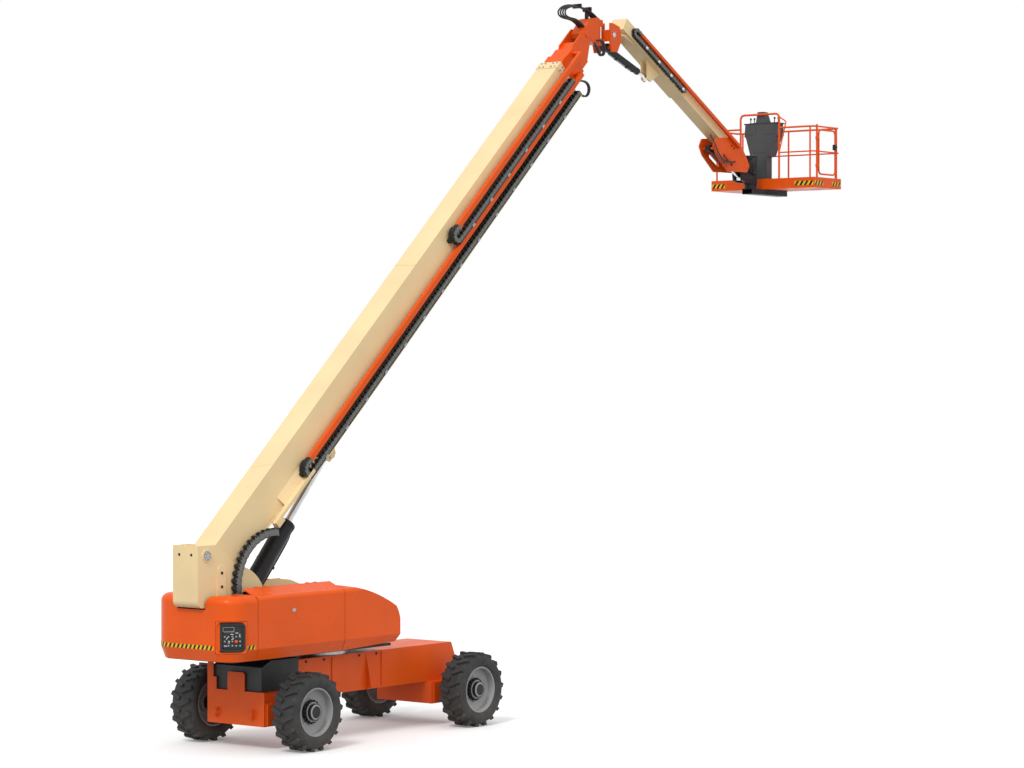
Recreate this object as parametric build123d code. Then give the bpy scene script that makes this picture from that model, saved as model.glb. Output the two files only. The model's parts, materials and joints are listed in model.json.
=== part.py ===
from build123d import *
import os
from math import cos, radians, sin

# Telescopic boom lift, boom raised. Millimetres. +X forward, +Y left, +Z up.
# The origin is on the ground, midway between the four wheels.

# Driving dimensions: wheels and axles
wheelbase = 3810
overall_width = 2490
tyre_dia = 1155
tyre_width = 445
lug_height = 34
lug_width = 58
lug_count = 18
lug_slant = 24
rim_radius = 356
rim_lip = 22
hub_radius = 150
spindle_radius = 70
kingpin_radius = 35
kingpin_inset = 252
running_gap = 0.05
slide_gap = 0.5
face_gap = 0.3

# Driving dimensions: chassis
frame_width = 900
frame_bottom = 690
frame_top = 1265
frame_rear_x = -2230
frame_step_x = -1500
frame_step_z = 850
nose_top_x = 2110
nose_bottom_x = 2310
frame_wall = 14
rib_x = 60
rib_plate = 20
rib_reach = 110
axle_box_length = 830
axle_box_clear = 240
axle_box_bottom = 350
axle_box_wall = 16
tongue_half = 170
tongue_z = 1125
horn_width = 120
horn_step = 60
horn_drop = 220
plate_round = 40
cover_top = 1300
cover_slope = 200
cover_drop = 90
cover_wall = 12
lug_inset = 200
lug_bore = 25
lug_thickness = 30

# Driving dimensions: turntable
slew_x = -500
ring_radius = 430
ring_bore = 330
ring_top = 1330
deck_bottom = 1345
deck_top = 1385
deck_half = 640
deck_inset = 170
tail_x = -3270
tail_half = 800
tail_front_x = -2720
tail_corner = 330
tail_top = 2310
tail_round = 120
skin = 10
hood_skin = 22
engine_clear = 138
engine_inner = 500
crease_z = 1530
skirt_z = 1365
skirt_inset = 60
notch_half = 280
notch_z = 2110
notch_round = 110
hood_inner = 470
hood_seam = 10
hood_lap = 30
hood_round = 85
nose_reach = 960
deck_reach = 920
hood_front_x = -815
shoulder_z = 2215
ridge_z = 2385
panel_width = 420
panel_height = 440
panel_z = 1720

# Driving dimensions: boom, in its own frame with the origin on its pivot, x along it
pivot_x = -3210
pivot_z = 2885
boom_angle = 42.7
upright_half = 250
upright_plate = 25
upright_rear_x = -3390
upright_top = 3030
heel_round = 100
pad_thickness = 12
boom_pin = 65
boom_top = -50
base_depth = 600
base_width = 420
base_front = 11510
base_tail = -110
section_step = 32
section_step_n = 48
section_wall = 6
collar = 160
collar_lip = 10
section_reach = 220
lift_foot_x = -2720
lift_foot_z = 1570
lift_foot_pin = 50
lift_eye_s = 3040
lift_eye_n = -930
lift_barrel = 138
lift_rod = 60
lift_barrel_length = 2250
lift_stroke = 980
lug_gap = 15
lug_plate = 30

# Driving dimensions: tip and jib
level_reach = 943
level_n = -204
level_pin = 45
swivel_reach = 570
swivel_radius = 33
jib_reach = 150
jib_rise = 50
jib_angle = 30
jib_pin = 45
jib_width = 300
jib_bottom = 278
jib_depth = 220
jib_tail = 220
jib_outer_end = 2300
jib_eye_x = 1377
jib_eye_n = 56
jib_foot_reach = 20
jib_foot_drop = 200
jib_foot_pin = 30
jib_barrel = 58
jib_barrel_length = 1000
jib_rod = 32
jib_chain_s = 520
jib_chain_radius = 82
jib_chain_height = 56
jib_chain_pitch = 78
jib_push_half = 28
ear_half = 106
ear_plate = 26
fork_half = 135
fork_plate = 30
fork_gap = 395
fork_round = 45
fork_holes = 5
level_foot_back = 960
level_foot_n = 60
level_foot_pin = 24
level_eye_drop = 217
level_barrel = 45
level_barrel_length = 640
level_rod = 24
head_x = 4560
head_n = 300
head_pin = 40

# Driving dimensions: platform
rotator_reach = 391
rotator_radius = 120
rotator_shaft = 50
platform_reach = 641
platform_depth = 910
platform_width = 2240
platform_shift = -90
floor_drop = 390
toe_board = 190
floor_plate = 8
toe_wall = 6
rail_height = 1110
mid_rail_height = 660
rail = 19
top_rail = 17.5
cross_rail = 16
hinge_inset = 130
gate_open = 660
gate_rail = 13
rail_bend = 80
mid_rail_bend = 50
hoop_height = 1370
brace_reach = 150
beam_holes = 5
beam_hole = 16
beam_hole_pitch = 90


# Shapes between limits
def block(x, y, z):
    """Box between a low and a high limit on each axis."""
    limits = (x, y, z)
    size = [high - low for low, high in limits]
    centre = [(high + low) / 2 for low, high in limits]
    return Pos(*centre) * Box(*size)


def side_plate(outline, y):
    """Plate with an XZ outline between two Y limits."""
    wire = Polyline(*[(px, y[0], pz) for px, pz in outline], close=True)
    return extrude(make_face(wire), amount=y[1] - y[0], dir=(0, 1, 0))


def cross_plate(outline, x):
    """Plate with a YZ outline between two X limits."""
    wire = Polyline(*[(x[0], py, pz) for py, pz in outline], close=True)
    return extrude(make_face(wire), amount=x[1] - x[0], dir=(1, 0, 0))


def pin_x(y, z, radius, x):
    return Pos((x[0] + x[1]) / 2, y, z) * Rot(0, 90, 0) * Cylinder(radius, x[1] - x[0])


def pin_y(x, z, radius, y):
    return Pos(x, (y[0] + y[1]) / 2, z) * Rot(90, 0, 0) * Cylinder(radius, y[1] - y[0])


def pin_z(x, y, radius, z):
    return Pos(x, y, (z[0] + z[1]) / 2) * Cylinder(radius, z[1] - z[0])


def bar(start, end, radius):
    axis = Vector(*end) - Vector(*start)
    return Solid.make_cylinder(radius, axis.length, Plane(origin=start, z_dir=axis))


def box_tube(x, half_width, z, wall):
    """Rectangular tube along X, open at both ends."""
    inner_z = (z[0] + wall, z[1] - wall)
    inner_half = half_width - wall
    outer = block(x, (-half_width, half_width), z)
    return outer - block((x[0] - 1, x[1] + 1), (-inner_half, inner_half), inner_z)


def ring_box(x, outer, inner):
    """Rectangular ring along X; outer and inner are (half width, (low z, high z))."""
    solid = block(x, (-outer[0], outer[0]), outer[1])
    return solid - block((x[0] - 1, x[1] + 1), (-inner[0], inner[0]), inner[1])


def rounded_plate(outline, y, radius):
    """Plate with an XZ outline between two Y limits, its corners rounded."""
    plate = side_plate(outline, y)
    return fillet(plate.edges().filter_by(Axis.Y), radius)


def bent_tube(points, radius, bend, close=False):
    """Round tube along straight runs joined by arcs."""
    path = FilletPolyline(*points, radius=bend, close=close)
    return sweep(Plane(origin=path @ 0, z_dir=path % 0) * Circle(radius), path=path)


def both_sides(part):
    return [part, mirror(part, about=Plane.XZ)]


def fuse(*parts):
    whole = parts[0]
    for part in parts[1:]:
        whole = whole + part
    return whole


# Wheels, each around its own centre with the outer side towards +Y
tyre_radius = tyre_dia / 2
tyre_half = tyre_width / 2
carcass_radius = tyre_radius - lug_height
track_half = (overall_width - tyre_width) / 2
hub_z = tyre_radius


def make_tyre():
    bead = tyre_half * 0.82
    shoulder_w = tyre_half * 0.86
    shoulder_r = carcass_radius - 24
    crown_w = tyre_half * 0.62
    bulge_r = (rim_radius + shoulder_r) / 2
    outline = [
        Line((rim_radius, -bead), (rim_radius, bead)),
        ThreePointArc((rim_radius, bead), (bulge_r, tyre_half), (shoulder_r, shoulder_w)),
        Line((shoulder_r, shoulder_w), (carcass_radius, crown_w)),
        Line((carcass_radius, crown_w), (carcass_radius, -crown_w)),
        Line((carcass_radius, -crown_w), (shoulder_r, -shoulder_w)),
        ThreePointArc((shoulder_r, -shoulder_w), (bulge_r, -tyre_half), (rim_radius, -bead)),
    ]
    carcass = revolve(make_face(outline), Axis.Y)
    lug_outline = [
        (6, carcass_radius - 16),
        (crown_w, carcass_radius - 16),
        (shoulder_w - 22, shoulder_r - 22),
        (shoulder_w + 14, shoulder_r - 10),
        (shoulder_w + 14, tyre_radius - 24),
        (shoulder_w - 12, tyre_radius + 20),
        (6, tyre_radius + 20),
    ]
    lug = cross_plate(lug_outline, (-lug_width / 2, lug_width / 2))
    lug = Rot(0, 0, -lug_slant) * lug
    lug = lug & Rot(90, 0, 0) * Cylinder(tyre_radius, tyre_width)
    pitch = 360 / lug_count
    lugs = []
    for step in range(lug_count):
        lugs.append(Rot(0, pitch * step, 0) * lug)
        lugs.append(Rot(0, pitch * (step + 0.5), 0) * mirror(lug, about=Plane.XZ))
    return carcass + lugs


def make_rim():
    bead = tyre_half * 0.82
    bore = spindle_radius + running_gap
    drop = rim_radius - rim_lip
    # (radius, offset along the axle)
    outline = [
        (bore, -60), (hub_radius, -60), (hub_radius, 10), (drop, 40), (drop, -bead),
        (rim_radius, -bead), (rim_radius, bead), (drop, bead), (drop, 66), (hub_radius, 36),
        (hub_radius, 110), (hub_radius - 32, 118), (hub_radius - 32, 165), (hub_radius - 55, 175),
        (0, 175), (0, 40), (bore, 40),
    ]
    return revolve(make_face(Polyline(*outline, close=True)), Axis.Y)


def make_knuckle():
    post = pin_z(0, -kingpin_inset, kingpin_radius + 25, (-150, 150))
    drive = pin_y(0, 0, hub_radius - 20, (-kingpin_inset + 32, -85))
    spindle = pin_y(0, 0, spindle_radius, (-kingpin_inset, 39.5))
    arm = block((-170, 0), (-kingpin_inset - 25, -kingpin_inset + 25), (-70, -30))
    whole = fuse(post, drive, spindle, arm)
    return whole - pin_z(0, -kingpin_inset, kingpin_radius + running_gap, (-200, 200))


# Axles
axle_box_half = axle_box_length / 2
axle_box_end = overall_width / 2 - tyre_width - axle_box_clear
cell_low = axle_box_bottom + axle_box_wall
cell_high = frame_bottom - axle_box_wall
divider = axle_box_wall / 2


def make_axle_box(centre_x, face_sign):
    """Box with two side by side cells; the right beam slides in the rear one."""
    x_limits = (centre_x - axle_box_half, centre_x + axle_box_half)
    shell = block(x_limits, (-axle_box_end, axle_box_end), (axle_box_bottom, frame_bottom))
    rear_cell = (x_limits[0] + axle_box_wall, centre_x - divider)
    front_cell = (centre_x + divider, x_limits[1] - axle_box_wall)
    closed = axle_box_end - axle_box_wall
    shell = shell - block(rear_cell, (-axle_box_end - 1, closed), (cell_low, cell_high))
    shell = shell - block(front_cell, (-closed, axle_box_end + 1), (cell_low, cell_high))
    face = centre_x + face_sign * axle_box_half
    tip = face + face_sign * 85
    lug_z = (axle_box_bottom + frame_bottom) / 2
    lug_reach = axle_box_end - lug_inset
    for lug_y in (-lug_reach, lug_reach):
        outline = [(face, lug_z - 90), (tip, lug_z - 45), (tip, lug_z + 45), (face, lug_z + 90)]
        y_limits = (lug_y - lug_thickness / 2, lug_y + lug_thickness / 2)
        shell = shell + side_plate(outline, y_limits)
        shell = shell - pin_y(face + face_sign * 45, lug_z, lug_bore, (lug_y - 40, lug_y + 40))
    return shell


def make_rear_plate():
    """Stepped plate on the rear axle box: a raised left end and a centre tongue with round corners."""
    face = -wheelbase / 2 - axle_box_half
    left = axle_box_end + axle_box_wall
    horn = left - horn_width
    left_z = frame_top - 15
    # (y, z) from the lower right corner round to the lower left one
    outline = [
        (-axle_box_end, axle_box_bottom), (-axle_box_end, frame_step_z), (-tongue_half, frame_step_z),
        (-tongue_half, tongue_z), (tongue_half, tongue_z), (tongue_half, frame_step_z),
        (horn - horn_step, frame_step_z), (horn - horn_step, left_z - horn_drop),
        (horn, left_z - horn_drop), (horn, left_z), (left, left_z), (left, axle_box_bottom),
    ]
    plate = cross_plate(outline, (face - axle_box_wall, face))
    tops = [edge for edge in plate.edges().filter_by(Axis.X) if edge.center().Z > tongue_z - 1]
    return fillet(tops, plate_round)


def make_axle_beam(centre_x, side):
    """Sliding beam with the kingpin fork, side +1 for left and -1 for right."""
    if side > 0:
        x_limits = (centre_x + divider + slide_gap, centre_x + axle_box_half - axle_box_wall - slide_gap)
    else:
        x_limits = (centre_x - axle_box_half + axle_box_wall + slide_gap, centre_x - divider - slide_gap)
    z_limits = (cell_low + slide_gap, cell_high - slide_gap)
    inner = -(axle_box_end - 80)
    wall = 14
    fork_y = track_half - kingpin_inset
    fork_back = fork_y - 82
    beam = block(x_limits, (inner, axle_box_end + 8), z_limits)
    hollow = block((x_limits[0] + wall, x_limits[1] - wall), (inner - 1, axle_box_end),
                   (z_limits[0] + wall, z_limits[1] - wall))
    flange = block((centre_x - 380, centre_x + 380), (axle_box_end + 6, axle_box_end + 30),
                   (axle_box_bottom + 10, frame_bottom - 10))
    head = block((centre_x - 95, centre_x + 95), (axle_box_end + 30, fork_back), (hub_z - 196, hub_z + 196))
    fork = [block((centre_x - 70, centre_x + 70), (fork_back, fork_y + 60), (hub_z + low, hub_z + low + 45))
            for low in (151, -196)]
    pin = pin_z(centre_x, fork_y, kingpin_radius, (hub_z - 196, hub_z + 196))
    whole = fuse(beam - hollow, flange, head, *fork, pin)
    if side < 0:
        whole = mirror(whole, about=Plane.XZ)
    return whole


# Chassis
def make_chassis_frame():
    half = frame_width / 2
    outline = [
        (frame_rear_x, frame_bottom), (nose_bottom_x, frame_bottom), (nose_bottom_x, frame_bottom + 110),
        (nose_top_x, frame_top), (frame_step_x, frame_top), (frame_step_x, frame_step_z),
        (frame_rear_x, frame_step_z),
    ]
    wall = frame_wall
    inner = [
        (frame_rear_x + wall, frame_bottom + wall), (nose_bottom_x - wall, frame_bottom + wall),
        (nose_bottom_x - wall, frame_bottom + 110), (nose_top_x - wall, frame_top - wall),
        (frame_step_x + wall, frame_top - wall), (frame_step_x + wall, frame_step_z - wall),
        (frame_rear_x + wall, frame_step_z - wall),
    ]
    shell = side_plate(outline, (-half, half)) - side_plate(inner, (-half + wall, half - wall))
    for side in (-1, 1):
        rib = [
            (side * half, frame_bottom), (side * (half + rib_reach), frame_bottom + 40),
            (side * half, frame_top - 30),
        ]
        shell = shell + cross_plate(rib, (rib_x, rib_x + rib_plate))
    return shell


def make_rear_cover():
    half = frame_width / 2 + 30
    wall = cover_wall
    rear = frame_rear_x - 70
    outer = [
        (rear, frame_step_z), (frame_step_x, frame_step_z), (frame_step_x, cover_top),
        (rear + cover_slope, cover_top), (rear, cover_top - cover_drop),
    ]
    inner = [
        (rear + wall, frame_step_z - 1), (frame_step_x + 1, frame_step_z - 1),
        (frame_step_x + 1, cover_top - wall), (rear + cover_slope + wall / 2, cover_top - wall),
        (rear + wall, cover_top - cover_drop - wall / 2),
    ]
    shell = side_plate(outer, (-half, half)) - side_plate(inner, (-half + wall, half - wall))
    seat_half = frame_width / 2 - 40
    flange = block((rear + wall, frame_step_x), (-half + 1, half - 1), (frame_step_z, frame_step_z + wall))
    flange = flange - block((frame_rear_x + 40, frame_step_x + 1), (-seat_half, seat_half),
                            (frame_step_z - 1, frame_step_z + wall + 1))
    return shell + flange


def make_slew_ring():
    ring = pin_z(slew_x, 0, ring_radius, (frame_top, ring_top))
    return ring - pin_z(slew_x, 0, ring_bore, (frame_top - 1, ring_top + 1))


# Turntable
boom_place = Pos(pivot_x, 0, pivot_z) * Rot(0, -boom_angle, 0)
web_half = upright_half
web_inner = upright_half - upright_plate
web_rear_x = lift_foot_x - 165
rear_plate = 22


def make_deck():
    x_limits = (tail_x + deck_inset, slew_x + deck_reach)
    plate = block(x_limits, (-deck_half, deck_half), (deck_bottom, deck_top))
    boss = pin_z(slew_x, 0, ring_radius - 5, (ring_top + face_gap, deck_bottom + 1))
    boss = boss - pin_z(slew_x, 0, ring_bore + 5, (ring_top - 1, deck_bottom + 2))
    walls = []
    for side in (-1, 1):
        y_limits = sorted((side * (hood_inner - 6), side * (hood_inner + 8)))
        walls.append(block((tail_front_x + 30, hood_front_x), y_limits, (deck_top, ridge_z - 40)))
    whole = fuse(plate, boss, *walls)
    for side in (-1, 1):
        for centre_x in hinge_places:
            seat_y = sorted((side * (hood_inner - 8), side * (hood_inner + 8)))
            seat = block((centre_x - 40, centre_x + 40), seat_y, (ridge_z - 60, ridge_z))
            stub = pin_x(side * hood_inner, ridge_z, 8, (centre_x - 120, centre_x + 120))
            whole = whole + seat + stub
    return whole


hinge_places = (tail_front_x + 400, hood_front_x - 400)


def make_upright():
    """Cream boom support: two webs joined by a rear box, open at the top and the front."""
    heel_z = notch_z + 20
    rear = upright_rear_x
    round_in = heel_round * (1 - cos(radians(45)))
    # Front edge of the webs: (x, z) from the deck up to the top
    toe = (lift_foot_x + 2020, deck_top + 365)
    sag = (lift_foot_x + 1420, deck_top + 770)
    hollow = (lift_foot_x + 700, deck_top + 985)
    rise = (lift_foot_x + 490, deck_top + 1210)
    brow = (lift_foot_x + 160, deck_top + 1315)
    outline = [
        Line((web_rear_x, 0, deck_top), (toe[0], 0, deck_top)),
        Line((toe[0], 0, deck_top), (toe[0], 0, toe[1])),
        ThreePointArc((toe[0], 0, toe[1]), (sag[0], 0, sag[1]), (hollow[0], 0, hollow[1])),
        ThreePointArc((hollow[0], 0, hollow[1]), (rise[0], 0, rise[1]), (brow[0], 0, brow[1])),
        Line((brow[0], 0, brow[1]), (pivot_x + 170, 0, upright_top)),
        Line((pivot_x + 170, 0, upright_top), (rear, 0, upright_top)),
        Line((rear, 0, upright_top), (rear, 0, heel_z + heel_round)),
        ThreePointArc((rear, 0, heel_z + heel_round), (rear + round_in, 0, heel_z + round_in),
                      (rear + heel_round, 0, heel_z)),
        Line((rear + heel_round, 0, heel_z), (web_rear_x, 0, heel_z)),
        Line((web_rear_x, 0, heel_z), (web_rear_x, 0, deck_top)),
    ]
    body = Pos(0, web_half, 0) * extrude(make_face(outline), amount=2 * web_half, dir=(0, -1, 0))
    space = [
        (web_rear_x + rear_plate, deck_top - 1), (toe[0] + 1, deck_top - 1), (toe[0] + 1, upright_top + 1),
        (rear + rear_plate, upright_top + 1), (rear + rear_plate, heel_z + heel_round),
        (rear + heel_round, heel_z + rear_plate), (web_rear_x + rear_plate, heel_z + rear_plate),
    ]
    body = body - side_plate(space, (-web_inner, web_inner))
    pin = pin_y(pivot_x, pivot_z, boom_pin, (-web_half - pad_thickness, web_half + pad_thickness))
    foot_pin = pin_y(lift_foot_x, lift_foot_z, lift_foot_pin, (-web_half - 10, web_half + 10))
    trim = []
    for side in (-1, 1):
        y_limits = sorted((side * (web_half - 1), side * (web_half + pad_thickness)))
        trim.append(pin_y(pivot_x, pivot_z, boom_pin + 30, y_limits))
        pad_x = (pivot_x + 215, pivot_x + 395)
        pad = block(pad_x, y_limits, (heel_z + 160, pivot_z - 160))
        trim.append(fillet(pad.edges().filter_by(Axis.Y).group_by(Axis.Z)[-1], 85))
    return fuse(body, pin, foot_pin, *trim)


def tail_plan(inset, z):
    """Plan of the tail at a height: rounded at the two rear corners."""
    half = tail_half - inset
    rear = tail_x + inset
    corner = tail_corner - inset
    outline = [
        Line((tail_front_x, -half, z), (rear + corner, -half, z)),
        RadiusArc((rear + corner, -half, z), (rear, -half + corner, z), corner),
        Line((rear, -half + corner, z), (rear, half - corner, z)),
        RadiusArc((rear, half - corner, z), (rear + corner, half, z), corner),
        Line((rear + corner, half, z), (tail_front_x, half, z)),
        Line((tail_front_x, half, z), (tail_front_x, -half, z)),
    ]
    return make_face(outline)


def make_tail_body(inset):
    """Tail at an inset: rounded over at the top and drawn in below the crease."""
    upper = extrude(tail_plan(inset, crease_z), amount=tail_top - inset - crease_z, dir=(0, 0, 1))
    rim = upper.faces().sort_by(Axis.Z)[-1].edges()
    upper = fillet([edge for edge in rim if edge.center().X < tail_front_x - 1], tail_round - inset)
    lower = loft([tail_plan(inset + skirt_inset, skirt_z), tail_plan(inset, crease_z)])
    return upper + lower


def notch_space(margin, low):
    """Space for the boom support: upright sides that flare out in rounded shoulders."""
    rear = tail_x - 1
    half = notch_half + margin
    wide = half + notch_round
    shoulder = tail_top - notch_round
    arc_y = wide - notch_round * cos(radians(45))
    arc_z = shoulder + notch_round * sin(radians(45))
    outline = [
        Line((rear, -half, low), (rear, half, low)),
        Line((rear, half, low), (rear, half, shoulder)),
        ThreePointArc((rear, half, shoulder), (rear, arc_y, arc_z), (rear, wide, tail_top)),
        Line((rear, wide, tail_top), (rear, wide, tail_top + 1)),
        Line((rear, wide, tail_top + 1), (rear, -wide, tail_top + 1)),
        Line((rear, -wide, tail_top + 1), (rear, -wide, tail_top)),
        ThreePointArc((rear, -wide, tail_top), (rear, -arc_y, arc_z), (rear, -half, shoulder)),
        Line((rear, -half, shoulder), (rear, -half, low)),
    ]
    return extrude(make_face(outline), amount=tail_front_x + 2 - tail_x, dir=(1, 0, 0))


def panel_pocket(depth, margin):
    """Pocket for the control panel, across the rear right corner."""
    reach = tail_corner * 0.78
    centre = (tail_x + tail_corner, -tail_half + tail_corner)
    box = Pos(-reach + depth / 2 - 60, 0, 0) * Box(depth + 120, panel_width + margin, panel_height + margin)
    return Pos(centre[0], centre[1], panel_z) * Rot(0, 0, 45) * box


def make_counterweight():
    body = make_tail_body(skin)
    body = body & block((tail_x, tail_front_x - 20), (-tail_half, tail_half), (deck_top, tail_top))
    well = block((web_rear_x - 10, tail_front_x), (-web_half - 10, web_half + 10), (deck_top - 1, notch_z))
    return body - notch_space(5, notch_z - 30) - well - panel_pocket(80, 30)


def make_tail_cover():
    shell = make_tail_body(0) - make_tail_body(skin)
    return shell - notch_space(0, notch_z) - panel_pocket(80, 30)


def make_ground_controls():
    reach = tail_corner * 0.78
    centre = (tail_x + tail_corner, -tail_half + tail_corner)
    face = Pos(-reach + 50, 0, 0) * Box(60, panel_width, panel_height)
    dish = Pos(-reach + 20, 0, 0) * Box(20, panel_width - 90, panel_height - 90)
    return Pos(centre[0], centre[1], panel_z) * Rot(0, 0, 45) * (face - dish)


def hood_section(inset, margin):
    """YZ region inside the right cover's outer surface, at an inset from it."""
    x = tail_front_x
    side = -tail_half + inset
    low = skirt_z - margin
    inner = -hood_inner - hood_lap + margin
    arc = (side + hood_round * 0.22, shoulder_z + hood_round * 0.7 - inset * 0.3)
    turn = (side + hood_round, shoulder_z + hood_round - inset * 0.6)
    ridge = (inner, ridge_z + hood_lap / 3 - inset)
    outline = [
        Line((x, side + skirt_inset, low), (x, side, crease_z)),
        Line((x, side, crease_z), (x, side, shoulder_z)),
        ThreePointArc((x, side, shoulder_z), (x, *arc), (x, *turn)),
        Line((x, *turn), (x, *ridge)),
        Line((x, *ridge), (x, inner, low)),
        Line((x, inner, low), (x, side + skirt_inset, low)),
    ]
    return make_face(outline)


def make_hood():
    """Right hood door: a bent skin from the hinge at its ridge down to the skirt."""
    x_limits = (tail_front_x + hood_seam, hood_front_x - hood_seam)
    length = x_limits[1] - x_limits[0]
    outer = extrude(hood_section(0, 0), amount=length, dir=(1, 0, 0))
    space = extrude(hood_section(hood_skin, 1), amount=length + 2, dir=(1, 0, 0))
    door = Pos(hood_seam, 0, 0) * (outer - Pos(-1, 0, 0) * space)
    for centre_x in hinge_places:
        for offset in (-85, 85):
            barrel_x = (centre_x + offset - 30, centre_x + offset + 30)
            barrel = pin_x(-hood_inner, ridge_z, 18, barrel_x)
            leaf = block(barrel_x, (-hood_inner - 40, -hood_inner - 8), (ridge_z - 12, ridge_z + 8))
            door = door + barrel + leaf
            door = door - pin_x(-hood_inner, ridge_z, 8 + running_gap, (barrel_x[0] - 1, barrel_x[1] + 1))
    return door


def make_nose_cover():
    """Right fixed cover ahead of the hood, rounding down to the front."""
    nose = slew_x + nose_reach
    length = nose - hood_front_x
    body = Pos(hood_front_x - tail_front_x, 0, 0) * extrude(hood_section(0, 0), amount=length, dir=(1, 0, 0))
    body = body + block((hood_front_x, nose), (-hood_inner - hood_lap, -hood_inner + 8), (skirt_z, ridge_z))
    brow = (nose - 90, shoulder_z - 250)
    crown = ridge_z - 45
    outline = [
        Line((hood_front_x, 0, skirt_z), (nose - 80, 0, skirt_z + 55)),
        Line((nose - 80, 0, skirt_z + 55), (nose, 0, crease_z)),
        ThreePointArc((nose, 0, crease_z), (nose - 5, 0, shoulder_z - 430), (brow[0], 0, brow[1])),
        ThreePointArc((brow[0], 0, brow[1]), (nose - 560, 0, shoulder_z - 40), (hood_front_x, 0, crown)),
        Line((hood_front_x, 0, crown), (hood_front_x, 0, skirt_z)),
    ]
    body = body & extrude(make_face(outline), amount=tail_half + 10, dir=(0, -1, 0))
    deck_x = (hood_front_x - 1, slew_x + deck_reach)
    return body - block(deck_x, (-deck_half, deck_half), (skirt_z - 50, deck_top))


def make_engine():
    side = tail_half - hood_skin - engine_clear
    return block((-2350, -1350), (-side, -engine_inner), (deck_top, 1960))


def make_hose_carrier():
    """Curved cable carrier from the deck up beside the boom."""
    width = 110
    low = (-2700, deck_top)
    bend = (-2700, 2480)
    outer = [
        Line((low[0], -260, low[1]), (bend[0], -260, bend[1])),
        ThreePointArc((bend[0], -260, bend[1]), (-2530, -260, 2900), (-1800, -260, 3215)),
        Line((-1800, -260, 3215), (-1765, -260, 3110)),
        ThreePointArc((-1765, -260, 3110), (-2450, -260, 2820), (bend[0] + width, -260, bend[1])),
        Line((bend[0] + width, -260, bend[1]), (low[0] + width, -260, low[1])),
        Line((low[0] + width, -260, low[1]), (low[0], -260, low[1])),
    ]
    return extrude(make_face(outer), amount=95, dir=(0, -1, 0))


# Boom sections, numbered from the base outwards
boom_centre = boom_top - base_depth / 2


def section_size(index):
    """Half width and n limits of a section."""
    half = base_width / 2 - index * (section_step / 2 + 2)
    depth = base_depth - index * (section_step_n + 12)
    return half, (boom_centre - depth / 2, boom_centre + depth / 2)


def grown(size, amount):
    return size[0] + amount, (size[1][0] - amount, size[1][1] + amount)


def make_section(index, rear, front):
    half, n_limits = section_size(index)
    tube = box_tube((rear, front), half, n_limits, section_wall)
    inner_next = section_size(index + 1)
    if index < 3:
        mouth = ring_box((front - collar, front), grown((half, n_limits), -1), grown(inner_next, slide_gap))
        tube = tube + mouth
    if index > 0:
        space = grown(section_size(index - 1), -section_wall - slide_gap)
        tube = tube + ring_box((rear, rear + collar), space, grown((half, n_limits), -1))
    return tube


def make_base():
    half, n_limits = section_size(0)
    tube = make_section(0, 120, base_front)
    size = (half, n_limits)
    rim = ring_box((base_front - collar, base_front), grown(size, collar_lip), grown(size, -1))
    tube = tube + rim
    # Heel plate: (s, n) from the lower rear corner round
    ear = [
        (base_tail, n_limits[0]), (500, n_limits[0]), (500, boom_top), (260, boom_top), (105, 95),
        (-105, 95), (base_tail, 40),
    ]
    for side in (-1, 1):
        y_limits = sorted((side * (half - 25), side * half))
        tube = tube + side_plate(ear, y_limits)
        lug_in = lift_rod + lug_gap
        lug_y = sorted((side * lug_in, side * (lug_in + lug_plate)))
        lug = [
            (lift_eye_s - 260, n_limits[0]), (lift_eye_s - 90, lift_eye_n - 60),
            (lift_eye_s + 90, lift_eye_n - 60), (lift_eye_s + 260, n_limits[0]),
        ]
        tube = tube + side_plate(lug, lug_y)
        boss_y = sorted((side * (lug_in + lug_plate), side * (lug_in + 2 * lug_plate)))
        tube = tube + pin_y(lift_eye_s, lift_eye_n, 55, boss_y)
    return tube - pin_y(0, 0, boom_pin + running_gap, (-half - 1, half + 1))


section_fronts = [base_front + section_reach * index for index in range(4)]
section_rears = [500 + 200 * index for index in range(4)]


def make_fly():
    half, n_limits = section_size(3)
    tube = make_section(3, section_rears[3], section_fronts[3])
    end = section_fronts[3]
    for side in (-1, 1):
        ear = [(end - 200, n_limits[0] + 20), (end - 5, n_limits[0] + 20), (level_s + 70, level_n - 95),
               (level_s + 115, level_n + 10), (level_s + 40, level_n + 105), (end - 120, n_limits[1] + 45),
               (end - 200, n_limits[1] - 10)]
        tube = tube + side_plate(ear, sorted((side * (half - 26), side * half)))
    pin = pin_y(level_s, level_n, level_pin, (-half - 12, half + 12))
    return tube + pin


# Carriers on the right side of the base: (loop centre s, loop centre n)
carrier_y = (-355, -265)
chain_radius = 123
chain_height = 80
chain_lead = 120
chain_pitch = 95
chain_gap = 0.36
chain_stop = 60
tray_sheet = 6
push_half = 32
push_half_n = 42
upper_carrier = (7390, -296)
lower_carrier = (2370, -561)


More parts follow.
